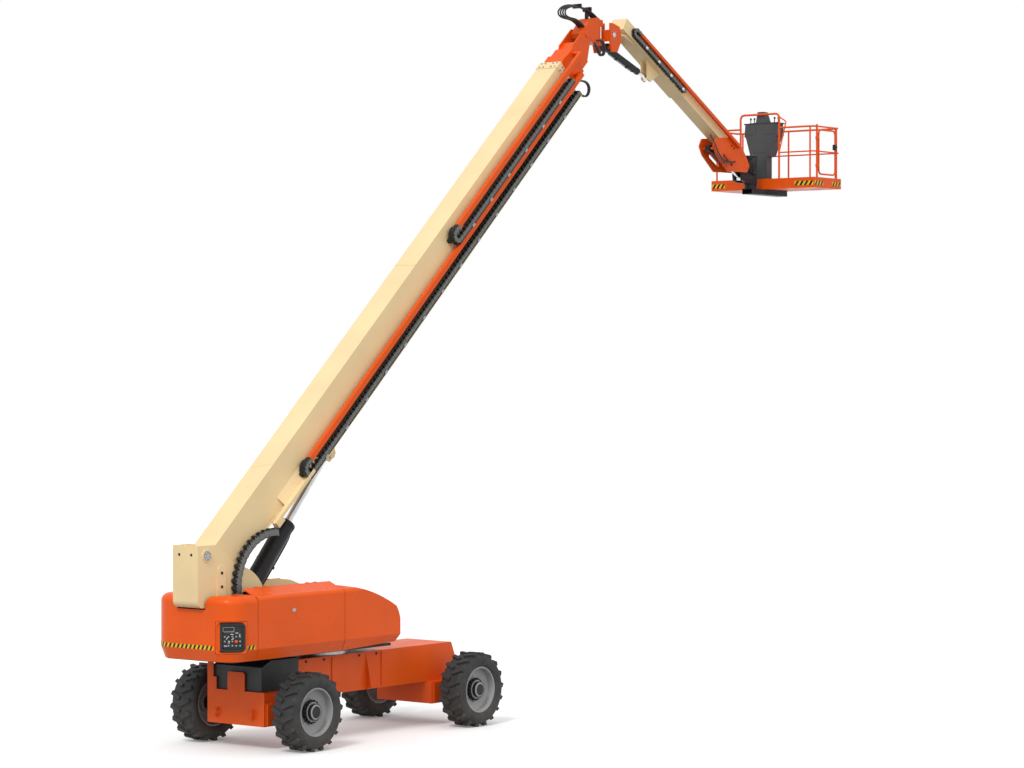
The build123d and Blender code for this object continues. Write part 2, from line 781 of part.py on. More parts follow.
def make_chain(loop_s, loop_n, front, sizes):
    """Cable carrier: a long lower run, a half loop at the rear and a short lead to the push tube.

    Each link is cut away on the inner side of the bend, so that its neighbour has room to turn.
    """
    y_limits, radius, height, pitch = sizes
    inner = radius - height
    lead = loop_s + chain_lead
    y_low, y_high = y_limits
    lower = block((loop_s, front), y_limits, (loop_n - radius, loop_n - inner))
    upper = block((loop_s, lead), y_limits, (loop_n + inner, loop_n + radius))
    loop = pin_y(loop_s, loop_n, radius, y_limits) - pin_y(loop_s, loop_n, inner, (y_low - 1, y_high + 1))
    loop = loop & block((loop_s - radius, loop_s), y_limits, (loop_n - radius, loop_n + radius))
    chain = fuse(lower, loop, upper)
    gap_half = pitch * chain_gap / 2
    depth = height * chain_gap
    comb = []
    for step in range(1, int((front - loop_s) / pitch)):
        centre = loop_s + step * pitch
        comb.append(block((centre - gap_half, centre + gap_half), (y_low - 1, y_high + 1),
                          (loop_n - inner - depth, loop_n - inner + 1)))
    for angle in range(0, 181, 45):
        slot = block((-gap_half, gap_half), (y_low - 1, y_high + 1), (-radius - 1, depth - radius))
        comb.append(Pos(loop_s, 0, loop_n) * Rot(0, angle, 0) * slot)
    return chain - comb


def make_carriers():
    sizes = (carrier_y, chain_radius, chain_height, chain_pitch)
    front = base_front - chain_stop
    return [make_chain(*carrier, front, sizes) for carrier in (upper_carrier, lower_carrier)]


def make_trays():
    """Angle trays that carry the chains on the right side of the base section."""
    half = base_width / 2
    trays = []
    for loop_s, loop_n in (upper_carrier, lower_carrier):
        low = loop_n - chain_radius
        sheet_x = (loop_s - 70, base_front - chain_stop)
        sheet = block(sheet_x, (carrier_y[0] - 8, -half - 10), (low - tray_sheet, low))
        foot_x = (loop_s + 330, base_front - collar - 10)
        foot = block(foot_x, (carrier_y[1], -half), (low - tray_sheet, low + 60))
        trays.append(sheet + foot)
    return trays


def make_push_tube(carrier, section):
    """Square tube that draws a carrier out, with a bracket back to its section."""
    loop_s, loop_n = carrier
    rear = loop_s + chain_lead + face_gap
    front = section_fronts[section]
    n_centre = loop_n + chain_radius - push_half_n
    n_limits = (n_centre - push_half_n, n_centre + push_half_n)
    centre_y = (carrier_y[0] + carrier_y[1]) / 2
    tube = Pos(0, centre_y, 0) * box_tube((rear, front), push_half, n_limits, section_wall)
    return tube + block((front - 60, front), (centre_y, -section_size(section)[0]), n_limits)


# Cylinders, each along +X from its foot pin at the origin
def make_barrel(radius, length, bore_radius, foot_pin, eye_half):
    tube = pin_x(0, 0, radius, (foot_pin + 25, length))
    tube = tube - pin_x(0, 0, bore_radius + running_gap, (foot_pin + 60, length + 1))
    eye = pin_y(0, 0, foot_pin + 40, (-eye_half, eye_half))
    neck = block((0, foot_pin + 30), (-eye_half, eye_half), (-foot_pin - 20, foot_pin + 20))
    return fuse(tube, eye, neck) - pin_y(0, 0, foot_pin + running_gap, (-eye_half - 1, eye_half + 1))


def make_rod(radius, start, end, eye_radius, eye_half):
    shaft = pin_x(0, 0, radius, (start, end))
    return shaft + pin_y(end, 0, eye_radius, (-eye_half, eye_half))


def cylinder_place(foot, eye):
    """Location of a cylinder's own frame, and its length from pin to pin."""
    run = Vector(eye[0] - foot[0], 0, eye[1] - foot[1])
    plane = Plane(origin=(foot[0], 0, foot[1]), x_dir=run, z_dir=Vector(-run.Z, 0, run.X))
    return Location(plane), run.length


def from_frame(origin, angle, along, normal):
    """Point of a tilted frame in the machine's XZ plane."""
    turn = radians(angle)
    x = origin[0] + along * cos(turn) - normal * sin(turn)
    z = origin[1] + along * sin(turn) + normal * cos(turn)
    return x, z


lift_foot = (lift_foot_x, lift_foot_z)
lift_eye = from_frame((pivot_x, pivot_z), boom_angle, lift_eye_s, lift_eye_n)
level_s = base_front + level_reach
level_point = from_frame((pivot_x, pivot_z), boom_angle, level_s, level_n)
swivel_x = level_point[0] + swivel_reach
jib_x = swivel_x + jib_reach
jib_z = level_point[1] + jib_rise
jib_eye = from_frame((jib_x, jib_z), -jib_angle, jib_eye_x, jib_eye_n)
jib_foot = (jib_x + jib_foot_reach, jib_z - jib_foot_drop)
jib_inner_end = head_x - fork_gap
level_foot = from_frame((jib_x, jib_z), -jib_angle, head_x - level_foot_back, level_foot_n)
head_point = from_frame((jib_x, jib_z), -jib_angle, head_x, head_n)
level_eye = (head_point[0] + 30, head_point[1] - level_eye_drop)


# Tip
swivel_top = jib_z + 200
swivel_low = jib_z - 130
knuckle_half = jib_width / 2 + 45
neck_half = 88
arm_half = 60
arm_depth = 50
grip_half = 58
grip_depth = 55
spine_plate = 28
knuckle_plate = 30


def make_tip_upright():
    half = section_size(3)[0] - 32
    hx, hz = level_point
    front = swivel_x - 90
    outline = [
        (hx - 80, hz + 20), (hx - 30, hz + 85), (front - 310, swivel_top + 40),
        (front - 120, swivel_top + 70), (front, swivel_top + arm_depth), (front, swivel_low - arm_depth),
        (front - 140, swivel_low - arm_depth), (hx + 40, hz - 85), (hx - 60, hz - 65),
    ]
    body = side_plate(outline, (-half, half))
    for side in (-1, 1):
        y_limits = sorted((side * neck_half, side * (half + 1)))
        body = body - block((front - 80, front + 1), y_limits, (hz - 200, swivel_top + 100))
    for low in (swivel_low - arm_depth, swivel_top):
        z_limits = (low, low + arm_depth)
        body = body + block((front - 1, swivel_x), (-arm_half, arm_half), z_limits)
        body = body + pin_z(swivel_x, 0, arm_half, z_limits)
    return body - pin_y(hx, hz, level_pin + running_gap, (-half - 1, half + 1))


def make_swivel_pin():
    return pin_z(swivel_x, 0, swivel_radius, (swivel_low, swivel_top))


def make_jib_knuckle():
    front = jib_x + 170
    back = swivel_x + 52
    outline = [
        (back, jib_z - 128), (jib_foot[0] - 70, jib_foot[1] - 90), (jib_foot[0] + 90, jib_foot[1] - 80),
        (front + 60, jib_z - 60), (front, jib_z + 150), (jib_x - 20, swivel_top - 2), (back, swivel_top - 2),
    ]
    sides = []
    pins = []
    for side in (-1, 1):
        side_y = sorted((side * (knuckle_half - knuckle_plate), side * knuckle_half))
        sides.append(side_plate(outline, side_y))
        pin_limits = sorted((side * (ear_half - ear_plate - 4), side * (knuckle_half + 8)))
        pins.append(pin_y(jib_x, jib_z, jib_pin, pin_limits))
    spine_x = (back, back + spine_plate)
    spine = block(spine_x, (-knuckle_half, knuckle_half), (jib_z - 110, jib_z + 85))
    neck = block(spine_x, (-grip_half, grip_half), (jib_z + 84, swivel_top - 2))
    grips = []
    for low in (swivel_low + 2, swivel_top - 2 - grip_depth):
        grips.append(block((swivel_x - 55, back + 5), (-grip_half, grip_half), (low, low + grip_depth)))
    foot_pin = pin_y(*jib_foot, jib_foot_pin, (-knuckle_half, knuckle_half))
    whole = fuse(*sides, spine, neck, *grips, *pins, foot_pin)
    return whole - pin_z(swivel_x, 0, swivel_radius + running_gap, (swivel_low - 1, swivel_top + 1))


# Jib, in its own frame with the origin on its pivot
jib_place = Pos(jib_x, 0, jib_z) * Rot(0, jib_angle, 0)
jib_top = jib_bottom + jib_depth
jib_inner_half = jib_width / 2 - 18
jib_inner_n = (jib_bottom + 16, jib_top - 16)


def make_jib_outer():
    half = jib_width / 2
    tube = box_tube((jib_tail, jib_outer_end), half, (jib_bottom, jib_top), 6)
    mouth = ring_box((jib_outer_end - 120, jib_outer_end), (half - 1, (jib_bottom + 1, jib_top - 1)),
                     (jib_inner_half + slide_gap, (jib_inner_n[0] - slide_gap, jib_inner_n[1] + slide_gap)))
    tail_cap = block((jib_tail, jib_tail + 20), (-half, half), (jib_bottom, jib_top))
    tube = tube + mouth + tail_cap
    ear = [(-60, -20), (20, -62), (330, jib_bottom - 60), (760, jib_bottom), (jib_tail + 150, jib_bottom),
           (80, 80), (-40, 40)]
    lug = [(jib_eye_x - 220, jib_bottom), (jib_eye_x - 45, jib_eye_n - 45), (jib_eye_x + 45, jib_eye_n - 45),
           (jib_eye_x + 220, jib_bottom)]
    for side in (-1, 1):
        tube = tube + side_plate(ear, sorted((side * (ear_half - ear_plate), side * ear_half)))
        tube = tube + side_plate(lug, sorted((side * 50, side * 72)))
    return tube - pin_y(0, 0, jib_pin + running_gap, (-half - 1, half + 1))


def make_jib_inner():
    tube = box_tube((jib_tail + 200, jib_inner_end), jib_inner_half, jib_inner_n, 6)
    guide = ring_box((jib_tail + 200, jib_tail + 300),
                     (jib_width / 2 - 6 - slide_gap, (jib_bottom + 6 + slide_gap, jib_top - 6 - slide_gap)),
                     (jib_inner_half - 1, (jib_inner_n[0] + 1, jib_inner_n[1] - 1)))
    return tube + guide


def make_jib_fork():
    rear = head_x - level_foot_back - 100
    outline = [
        (rear, level_foot_n + 150), (rear, level_foot_n - 10), (rear + 160, level_foot_n - 100),
        (jib_inner_end - 45, level_foot_n - 160), (jib_inner_end + 165, level_foot_n - 30),
        (head_x + 90, head_n - 80), (head_x + 90, head_n + 60), (head_x - 20, head_n + 120),
        (jib_inner_end + 120, jib_top + 22), (jib_inner_end - 265, jib_inner_n[1]),
    ]
    outer_half = fork_half + fork_plate
    through = (-outer_half - 1, outer_half + 1)
    pad_x = (jib_inner_end - 215, jib_inner_end - 65)
    cheeks = []
    pads = []
    for side in (-1, 1):
        cheeks.append(rounded_plate(outline, sorted((side * fork_half, side * outer_half)), fork_round))
        pads.append(block(pad_x, sorted((side * jib_inner_half, side * fork_half)), jib_inner_n))
    whole = fuse(
        *cheeks,
        block((jib_inner_end, jib_inner_end + fork_plate), (-fork_half, fork_half), jib_inner_n),
        pin_y(head_x, head_n, head_pin, (-outer_half - 8, outer_half + 8)),
        pin_y(head_x - level_foot_back, level_foot_n, level_foot_pin, (-fork_half, fork_half)),
        *pads,
    )
    slot = block((rear + 330, rear + 700), through, (level_foot_n - 20, level_foot_n + 50))
    whole = whole - fillet(slot.edges().filter_by(Axis.Y), 34)
    for step in range(fork_holes):
        whole = whole - pin_y(rear + 190 + 82 * step, level_foot_n - 62 - 10 * step, 18, through)
    return whole


def make_jib_carrier():
    """Cable carrier along the right side of the outer jib, on a seat strip."""
    y_limits = (-jib_width / 2 - 75, -jib_width / 2 - 5)
    loop_n = jib_bottom + 120
    sizes = (y_limits, jib_chain_radius, jib_chain_height, jib_chain_pitch)
    chain = make_chain(jib_chain_s, loop_n, jib_outer_end - 60, sizes)
    low = loop_n - jib_chain_radius
    seat = block((jib_chain_s + 200, jib_outer_end - 200), (y_limits[1] - 1, -jib_width / 2), (low, low + 30))
    return chain + seat


def make_jib_push_tube():
    """Square tube that draws the jib's carrier out, with a bracket to the fork."""
    rear = jib_chain_s + chain_lead + face_gap
    high = jib_bottom + 120 + jib_chain_radius
    n_limits = (high - 2 * jib_push_half, high)
    centre_y = -jib_width / 2 - 50
    tube = Pos(0, centre_y, 0) * box_tube((rear, jib_inner_end), jib_push_half, n_limits, 5)
    return tube + block((jib_inner_end - 50, jib_inner_end), (centre_y, -fork_half - fork_plate), n_limits)


# Platform
rotator_x = head_point[0] + rotator_reach
platform_rear = head_point[0] + platform_reach
floor_z = head_point[1] - floor_drop
rail_top = floor_z + rail_height
rail_mid = floor_z + mid_rail_height
rotator_low = floor_z + 75
rotator_high = floor_z + 600
platform_left = platform_shift + platform_width / 2
platform_right = platform_shift - platform_width / 2
platform_front = platform_rear + platform_depth


def make_rotator():
    hx, hz = head_point
    drum = pin_z(rotator_x, 0, rotator_radius, (rotator_low, rotator_high))
    outline = [
        (hx - 70, hz + 30), (hx - 20, hz + 85), (rotator_x, hz + 150), (rotator_x, hz - 290),
        (hx + 60, hz - 290), (hx - 30, level_eye[1] - 40),
    ]
    plates = [side_plate(outline, sorted((side * 60, side * 110))) for side in (-1, 1)]
    whole = fuse(drum, *plates)
    whole = whole - pin_z(rotator_x, 0, rotator_shaft + running_gap, (rotator_low - 1, rotator_low + 300))
    return whole - pin_y(hx, hz, head_pin + running_gap, (-130, 130))


def make_support_beam():
    beam = box_tube((rotator_x - 110, platform_front - 100), 110, (floor_z - 100, floor_z), 10)
    cap = pin_z(rotator_x, 0, rotator_radius - 10, (floor_z, rotator_low - 2))
    shaft = pin_z(rotator_x, 0, rotator_shaft, (floor_z, rotator_low + 280))
    beam = fuse(beam, cap, shaft)
    for step in range(beam_holes):
        hole_x = platform_rear + 60 + beam_hole_pitch * step
        beam = beam - pin_y(hole_x, floor_z - 50, beam_hole, (-120, 120))
    return beam


def make_floor():
    x_limits = (platform_rear, platform_front)
    y_limits = (platform_right, platform_left)
    tray = block(x_limits, y_limits, (floor_z, floor_z + toe_board))
    inner_x = (x_limits[0] + toe_wall, x_limits[1] - toe_wall)
    inner_y = (y_limits[0] + toe_wall, y_limits[1] - toe_wall)
    hollow = block(inner_x, inner_y, (floor_z + floor_plate, floor_z + toe_board + 1))
    return tray - hollow


rail_inset = toe_wall + rail + face_gap
post_low = floor_z + floor_plate
hinge_post_x = platform_rear + hinge_inset
latch_post_x = hinge_post_x + gate_open
console_half = 350
console_y = -20
console_wall = 8


def make_rails():
    rear = platform_rear + rail_inset
    front = platform_front - rail_inset
    right = platform_right + rail_inset
    left = platform_left - rail_inset
    hoop_right = console_y - console_half - 70
    hoop_left = console_y + console_half + 70
    hoop_z = floor_z + hoop_height
    # Post places: (x, y)
    posts = [
        (rear, right + rail_bend), (front, right + rail_bend), (rear, left - rail_bend),
        (front, left - rail_bend), (front, platform_shift), (latch_post_x, right),
    ]
    tubes = [bar((px, py, post_low), (px, py, rail_top), cross_rail) for px, py in posts]
    tubes.append(bar((hinge_post_x, right, post_low), (hinge_post_x, right, rail_top + 2 * rail), rail))
    for height, radius, bend in ((rail_mid, gate_rail, mid_rail_bend), (rail_top, top_rail, rail_bend)):
        near = [(hinge_post_x, right, height), (rear, right, height), (rear, hoop_right, height)]
        far = [(latch_post_x, right, height), (front, right, height), (front, left, height),
               (rear, left, height), (rear, hoop_left, height)]
        tubes.append(bent_tube(near, radius, bend))
        tubes.append(bent_tube(far, radius, bend))
    tubes.append(bar((hinge_post_x, right, rail_top), (latch_post_x, right, rail_top), cross_rail - 1))
    hoop = [(rear, hoop_right, post_low), (rear, hoop_right, hoop_z), (rear, hoop_left, hoop_z),
            (rear, hoop_left, post_low)]
    tubes.append(bent_tube(hoop, rail, rail_bend))
    brace = [
        (rear, hoop_right, rail_mid), (rear, hoop_right - brace_reach, hoop_z - 150),
        (rear, hoop_right, hoop_z - 60),
    ]
    tubes.append(bent_tube(brace, gate_rail - 1, rail_bend / 2))
    return fuse(*tubes)


def console_body(inset):
    """Housing at an inset: column, flared waist, wide head and a small tower."""
    rear = platform_rear + rail_inset + rail + face_gap
    # Sections from the floor up: (height, depth, half width)
    sections = [
        (floor_plate, 170, 140), (590, 170, 140), (600, 190, 215), (960, 235, 320), (975, 250, console_half),
        (1215, 250, console_half - 20), (1228, 200, 100), (1420, 150, 62),
    ]
    body = None
    for (low, low_depth, low_half), (high, high_depth, high_half) in zip(sections, sections[1:]):
        faces = []
        for height, depth, half in ((low, low_depth, low_half), (high, high_depth, high_half)):
            place = Pos(rear + depth / 2, console_y, floor_z + height)
            faces.append(place * Rectangle(depth - 2 * inset, 2 * (half - inset)))
        body = loft(faces) if body is None else body + loft(faces)
    return body


def make_console():
    space = console_body(console_wall)
    lid = block((platform_rear, platform_front), (platform_right, platform_left),
                (floor_z + floor_plate + console_wall, floor_z + 1420 - console_wall))
    return console_body(0) - (space & lid)


def make_gate():
    """Swing gate: a bent tube frame with a mid rail, on two sleeves round the hinge post."""
    right = platform_right + rail_inset
    low = floor_z + toe_board + 60
    high = rail_top - 60
    start = hinge_post_x + 60
    end = latch_post_x - 45
    corners = [(start, right, low), (end, right, low), (end, right, high), (start, right, high)]
    whole = bent_tube(corners, cross_rail, rail_bend, close=True)
    whole = whole + bar((start, right, rail_mid), (end, right, rail_mid), gate_rail)
    for height in (low + 150, high - 150):
        whole = whole + pin_z(hinge_post_x, right, rail + 9, (height - 30, height + 30))
        whole = whole + bar((hinge_post_x, right, height), (start, right, height), gate_rail - 1)
    return whole - pin_z(hinge_post_x, right, rail + running_gap, (low - 100, high + 50))


def lift_cylinder():
    place, length = cylinder_place(lift_foot, lift_eye)
    barrel = place * make_barrel(lift_barrel, lift_barrel_length, lift_rod, lift_foot_pin, 150)
    rod = place * make_rod(lift_rod, lift_foot_pin + 100 + lift_stroke, length, lift_rod + 2, lift_rod + 8)
    return barrel, rod


def jib_cylinder():
    place, length = cylinder_place(jib_foot, jib_eye)
    barrel = place * make_barrel(jib_barrel, jib_barrel_length, jib_rod, jib_foot_pin, 60)
    rod = place * make_rod(jib_rod, 300, length, 42, 45)
    return barrel, rod


def level_cylinder():
    place, length = cylinder_place(level_foot, level_eye)
    barrel = place * make_barrel(level_barrel, level_barrel_length, level_rod, level_foot_pin, level_barrel)
    rod = place * make_rod(level_rod, 420, length, 38, level_barrel)
    return barrel, rod


def build_nodes():
    nodes = {}
    tyre = make_tyre()
    rim = make_rim()
    knuckle = make_knuckle()
    # Wheel table: (name, x, side)
    half_base = wheelbase / 2
    corners = [("fl", half_base, 1), ("fr", half_base, -1), ("rl", -half_base, 1), ("rr", -half_base, -1)]
    for name, wheel_x, side in corners:
        place = Pos(wheel_x, side * track_half, hub_z)
        for node, shape in (("tyre", tyre), ("rim", rim), ("knuckle", knuckle)):
            if side < 0:
                shape = mirror(shape, about=Plane.XZ)
            nodes[f"{node}_{name}"] = place * shape
        nodes[f"axle_beam_{name}"] = make_axle_beam(wheel_x, side)
    nodes["chassis_frame"] = make_chassis_frame()
    nodes["front_axle_box"] = make_axle_box(half_base, 1)
    nodes["rear_axle_box"] = make_axle_box(-half_base, -1) + make_rear_plate()
    nodes["rear_cover"] = make_rear_cover()
    nodes["slew_ring"] = make_slew_ring()

    nodes["turntable_deck"] = make_deck()
    nodes["boom_upright"] = make_upright()
    nodes["counterweight"] = make_counterweight()
    nodes["tail_cover"] = make_tail_cover()
    nodes["ground_controls"] = make_ground_controls()
    nodes["nose_covers"] = Compound(children=both_sides(make_nose_cover()))
    nodes["engine_block"] = make_engine()
    nodes["hose_carrier"] = make_hose_carrier()
    hood = make_hood()
    nodes["hood_right"] = hood
    nodes["hood_left"] = mirror(hood, about=Plane.XZ)

    nodes["boom_base"] = boom_place * make_base()
    nodes["boom_mid_outer"] = boom_place * make_section(1, section_rears[1], section_fronts[1])
    nodes["boom_mid_inner"] = boom_place * make_section(2, section_rears[2], section_fronts[2])
    nodes["boom_fly"] = boom_place * make_fly()
    nodes["boom_carriers"] = boom_place * Compound(children=make_carriers())
    nodes["carrier_trays"] = boom_place * Compound(children=make_trays())
    nodes["push_tube_lower"] = boom_place * make_push_tube(lower_carrier, 1)
    nodes["push_tube_upper"] = boom_place * make_push_tube(upper_carrier, 2)
    nodes["lift_barrel"], nodes["lift_rod"] = lift_cylinder()

    nodes["tip_upright"] = make_tip_upright()
    nodes["swivel_pin"] = make_swivel_pin()
    nodes["jib_knuckle"] = make_jib_knuckle()
    nodes["jib_outer"] = jib_place * make_jib_outer()
    nodes["jib_inner"] = jib_place * make_jib_inner()
    nodes["jib_fork"] = jib_place * make_jib_fork()
    nodes["jib_carrier"] = jib_place * make_jib_carrier()
    nodes["jib_push_tube"] = jib_place * make_jib_push_tube()
    nodes["jib_barrel"], nodes["jib_rod"] = jib_cylinder()
    nodes["level_barrel"], nodes["level_rod"] = level_cylinder()

    nodes["rotator"] = make_rotator()
    nodes["support_beam"] = make_support_beam()
    nodes["platform_floor"] = make_floor()
    nodes["platform_rails"] = make_rails()
    nodes["control_console"] = make_console()
    nodes["gate"] = make_gate()
    return nodes


os.makedirs("parts", exist_ok=True)
for node_name, solid in build_nodes().items():
    export_step(solid, f"parts/{node_name}.step")
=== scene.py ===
import json
import math

import bmesh
import bpy
from mathutils import Matrix, Vector


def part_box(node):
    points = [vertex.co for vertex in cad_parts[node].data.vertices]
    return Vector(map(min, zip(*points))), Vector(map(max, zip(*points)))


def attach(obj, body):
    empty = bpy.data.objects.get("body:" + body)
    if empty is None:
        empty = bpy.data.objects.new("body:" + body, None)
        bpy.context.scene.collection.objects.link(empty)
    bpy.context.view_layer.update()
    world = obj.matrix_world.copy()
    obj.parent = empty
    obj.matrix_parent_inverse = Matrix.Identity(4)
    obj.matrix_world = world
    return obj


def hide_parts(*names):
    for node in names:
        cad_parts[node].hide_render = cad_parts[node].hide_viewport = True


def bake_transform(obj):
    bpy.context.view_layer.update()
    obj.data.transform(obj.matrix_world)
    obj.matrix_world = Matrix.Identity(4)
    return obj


# Telescopic boom lift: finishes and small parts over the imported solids. Metres, +X forward, +Z up.
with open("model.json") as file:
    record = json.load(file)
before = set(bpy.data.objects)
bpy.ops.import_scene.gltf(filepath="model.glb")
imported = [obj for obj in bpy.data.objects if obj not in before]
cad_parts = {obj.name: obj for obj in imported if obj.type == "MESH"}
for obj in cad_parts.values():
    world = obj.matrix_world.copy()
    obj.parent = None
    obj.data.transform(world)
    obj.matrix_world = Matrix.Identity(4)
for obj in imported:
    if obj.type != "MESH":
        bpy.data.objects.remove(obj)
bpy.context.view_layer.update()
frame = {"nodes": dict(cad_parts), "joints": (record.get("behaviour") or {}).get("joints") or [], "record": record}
nodes = frame["nodes"]
joints = {joint["name"]: joint for joint in frame["joints"]}

# Camera at the photograph's place
camera_place = Vector((-34.48, -30.34, 5.72))
camera_target = Vector((4.238, 0.0, 5.308))
camera_lens = 105.47

# Light
sky_level = 0.82
sun_level = 1.2
sun_from = Vector((-0.66, -0.20, 0.72))
sun_softness = math.radians(14)
fill_level = 0.5
fill_from = Vector((-0.45, -0.80, 0.22))
fill_softness = math.radians(60)


# Colours
def linear(code):
    """Linear colour of an sRGB hex code."""
    parts = [int(code[i:i + 2], 16) / 255 for i in (0, 2, 4)]
    parts = [c / 12.92 if c <= 0.04045 else ((c + 0.055) / 1.055) ** 2.4 for c in parts]
    return (*parts, 1.0)


def shade(colour, factor):
    return (*[min(1.0, c * factor) for c in colour[:3]], 1.0)


orange = linear("ea5708")
cover_orange = linear("ee5a08")
cream = linear("f3d8a6")
black_paint = linear("202124")
black_plastic = linear("18191b")
console_grey = linear("414243")
rubber_grey = linear("2f2f30")
wheel_grey = linear("a6a8aa")
chain_grey = linear("6a6d6a")
steel_grey = linear("a9abad")
yellow = linear("f2c314")
white = linear("f4f4f2")


# Materials
def new_material(name):
    material = bpy.data.materials.new(name)
    material.use_nodes = True
    return material, material.node_tree, material.node_tree.nodes["Principled BSDF"]


def add_node(tree, kind, **inputs):
    node = tree.nodes.new(kind)
    for key, value in inputs.items():
        node.inputs[key].default_value = value
    return node


def object_noise(tree, scale, detail=4.0, stretch=(1, 1, 1)):
    """Noise in object coordinates, which are metres of the machine's frame."""
    coords = tree.nodes.new("ShaderNodeTexCoord")
    mapping = add_node(tree, "ShaderNodeMapping", Scale=stretch)
    noise = add_node(tree, "ShaderNodeTexNoise", Scale=scale, Detail=detail)
    tree.links.new(coords.outputs["Object"], mapping.inputs["Vector"])
    tree.links.new(mapping.outputs["Vector"], noise.inputs["Vector"])
    return noise.outputs["Fac"]


def ramp(tree, source, low, high, start=0.3, end=0.7):
    node = tree.nodes.new("ShaderNodeValToRGB")
    node.color_ramp.elements[0].position = start
    node.color_ramp.elements[1].position = end
    node.color_ramp.elements[0].color = low
    node.color_ramp.elements[1].color = high
    tree.links.new(source, node.inputs["Fac"])
    return node.outputs["Color"]


def grey(level):
    return (level, level, level, 1.0)


def dust(tree, colour, dusty, low_z, high_z, amount):
    """Thin dust that settles towards the ground."""
    geometry = tree.nodes.new("ShaderNodeNewGeometry")
    split = tree.nodes.new("ShaderNodeSeparateXYZ")
    tree.links.new(geometry.outputs["Position"], split.inputs["Vector"])
    height = tree.nodes.new("ShaderNodeMapRange")
    for key, value in (("From Min", low_z), ("From Max", high_z), ("To Min", amount), ("To Max", 0.0)):
        height.inputs[key].default_value = value
    tree.links.new(split.outputs["Z"], height.inputs["Value"])
    patch = add_node(tree, "ShaderNodeMath")
    patch.operation = "MULTIPLY"
    tree.links.new(height.outputs["Result"], patch.inputs[0])
    tree.links.new(object_noise(tree, 5.0, 6.0), patch.inputs[1])
    mix = tree.nodes.new("ShaderNodeMix")
    mix.data_type = "RGBA"
    mix.inputs["B"].default_value = dusty
    tree.links.new(patch.outputs["Value"], mix.inputs["Factor"])
    tree.links.new(colour, mix.inputs["A"])
    return mix.outputs["Result"]


def soften(tree, shader, height, distance, edge):
    """Rounded edges and a fine bump on the shading normal."""
    bevel = add_node(tree, "ShaderNodeBevel", Radius=edge)
    bevel.samples = 4
    bump = add_node(tree, "ShaderNodeBump", Strength=0.35, Distance=distance)
    tree.links.new(height, bump.inputs["Height"])
    tree.links.new(bevel.outputs["Normal"], bump.inputs["Normal"])
    tree.links.new(bump.outputs["Normal"], shader.inputs["Normal"])


def paint(name, colour, rough, tint=0.05, edge=0.006, ground_dust=0.1):
    """Sprayed paint: slow tint drift, orange peel, uneven gloss and dust low down."""
    material, tree, shader = new_material(name)
    tone = ramp(tree, object_noise(tree, 1.3, 5.0), shade(colour, 1 - tint), shade(colour, 1 + tint))
    dusty = shade(linear("b39a80"), 0.8)
    tree.links.new(dust(tree, tone, dusty, 0.0, 1.6, ground_dust), shader.inputs["Base Color"])
    gloss = ramp(tree, object_noise(tree, 3.1, 5.0), grey(rough - 0.06), grey(rough + 0.09))
    tree.links.new(gloss, shader.inputs["Roughness"])
    shader.inputs["Coat Weight"].default_value = 0.06
    shader.inputs["Specular IOR Level"].default_value = 0.22
    shader.inputs["Coat Roughness"].default_value = 0.2
    soften(tree, shader, object_noise(tree, 160.0, 2.0), 0.0015, edge)
    return material


def plastic(name, colour, rough, grain=220.0, edge=0.006):
    """Moulded plastic with a fine grain."""
    material, tree, shader = new_material(name)
    tone = ramp(tree, object_noise(tree, 2.2, 5.0), shade(colour, 0.93), shade(colour, 1.07))
    tree.links.new(tone, shader.inputs["Base Color"])
    gloss = ramp(tree, object_noise(tree, 4.0, 4.0), grey(rough - 0.05), grey(rough + 0.08))
    tree.links.new(gloss, shader.inputs["Roughness"])
    soften(tree, shader, object_noise(tree, grain, 3.0), 0.0012, edge)
    return material


def rubber(name, colour):
    """Tyre rubber: dusty lugs over a darker, finely grained carcass."""
    material, tree, shader = new_material(name)
    tone = ramp(tree, object_noise(tree, 7.0, 8.0), shade(colour, 0.78), shade(colour, 1.2))
    tree.links.new(dust(tree, tone, linear("6d665c"), 0.0, 0.8, 0.5), shader.inputs["Base Color"])
    gloss = ramp(tree, object_noise(tree, 11.0, 5.0), grey(0.62), grey(0.86))
    tree.links.new(gloss, shader.inputs["Roughness"])
    soften(tree, shader, object_noise(tree, 90.0, 6.0), 0.003, 0.008)
    return material


def metal(name, colour, rough, stretch=(1, 1, 1), edge=0.003):
    """Bare or plated metal with fine working marks."""
    material, tree, shader = new_material(name)
    tone = ramp(tree, object_noise(tree, 9.0, 6.0, stretch), shade(colour, 0.88), shade(colour, 1.08))
    tree.links.new(tone, shader.inputs["Base Color"])
    gloss = ramp(tree, object_noise(tree, 24.0, 5.0, stretch), grey(rough * 0.7), grey(rough * 1.3))
    tree.links.new(gloss, shader.inputs["Roughness"])
    shader.inputs["Metallic"].default_value = 1.0
    soften(tree, shader, object_noise(tree, 300.0, 2.0, stretch), 0.0006, edge)
    return material


materials = {
    "orange": paint("paint_orange", orange, 0.36),
    "cover": paint("cover_orange", cover_orange, 0.3, edge=0.012),
    "cream": paint("paint_cream", cream, 0.42),
    "black": paint("paint_black", black_paint, 0.4, ground_dust=0.06),
    "black_plastic": plastic("plastic_black", black_plastic, 0.55),
    "console": plastic("plastic_console", console_grey, 0.55),
    "rubber": rubber("tyre_rubber", rubber_grey),
    "wheel": paint("wheel_grey", wheel_grey, 0.45, ground_dust=0.25),
    "chain": plastic("chain_grey", chain_grey, 0.5),
    "steel": metal("bare_steel", steel_grey, 0.34),
    "chrome": metal("rod_chrome", linear("d6d8da"), 0.14),
    "hose": plastic("hose_black", linear("1b1b1d"), 0.48, grain=400.0),
    "yellow": paint("mark_yellow", yellow, 0.4),
    "white": paint("mark_white", white, 0.4),
}

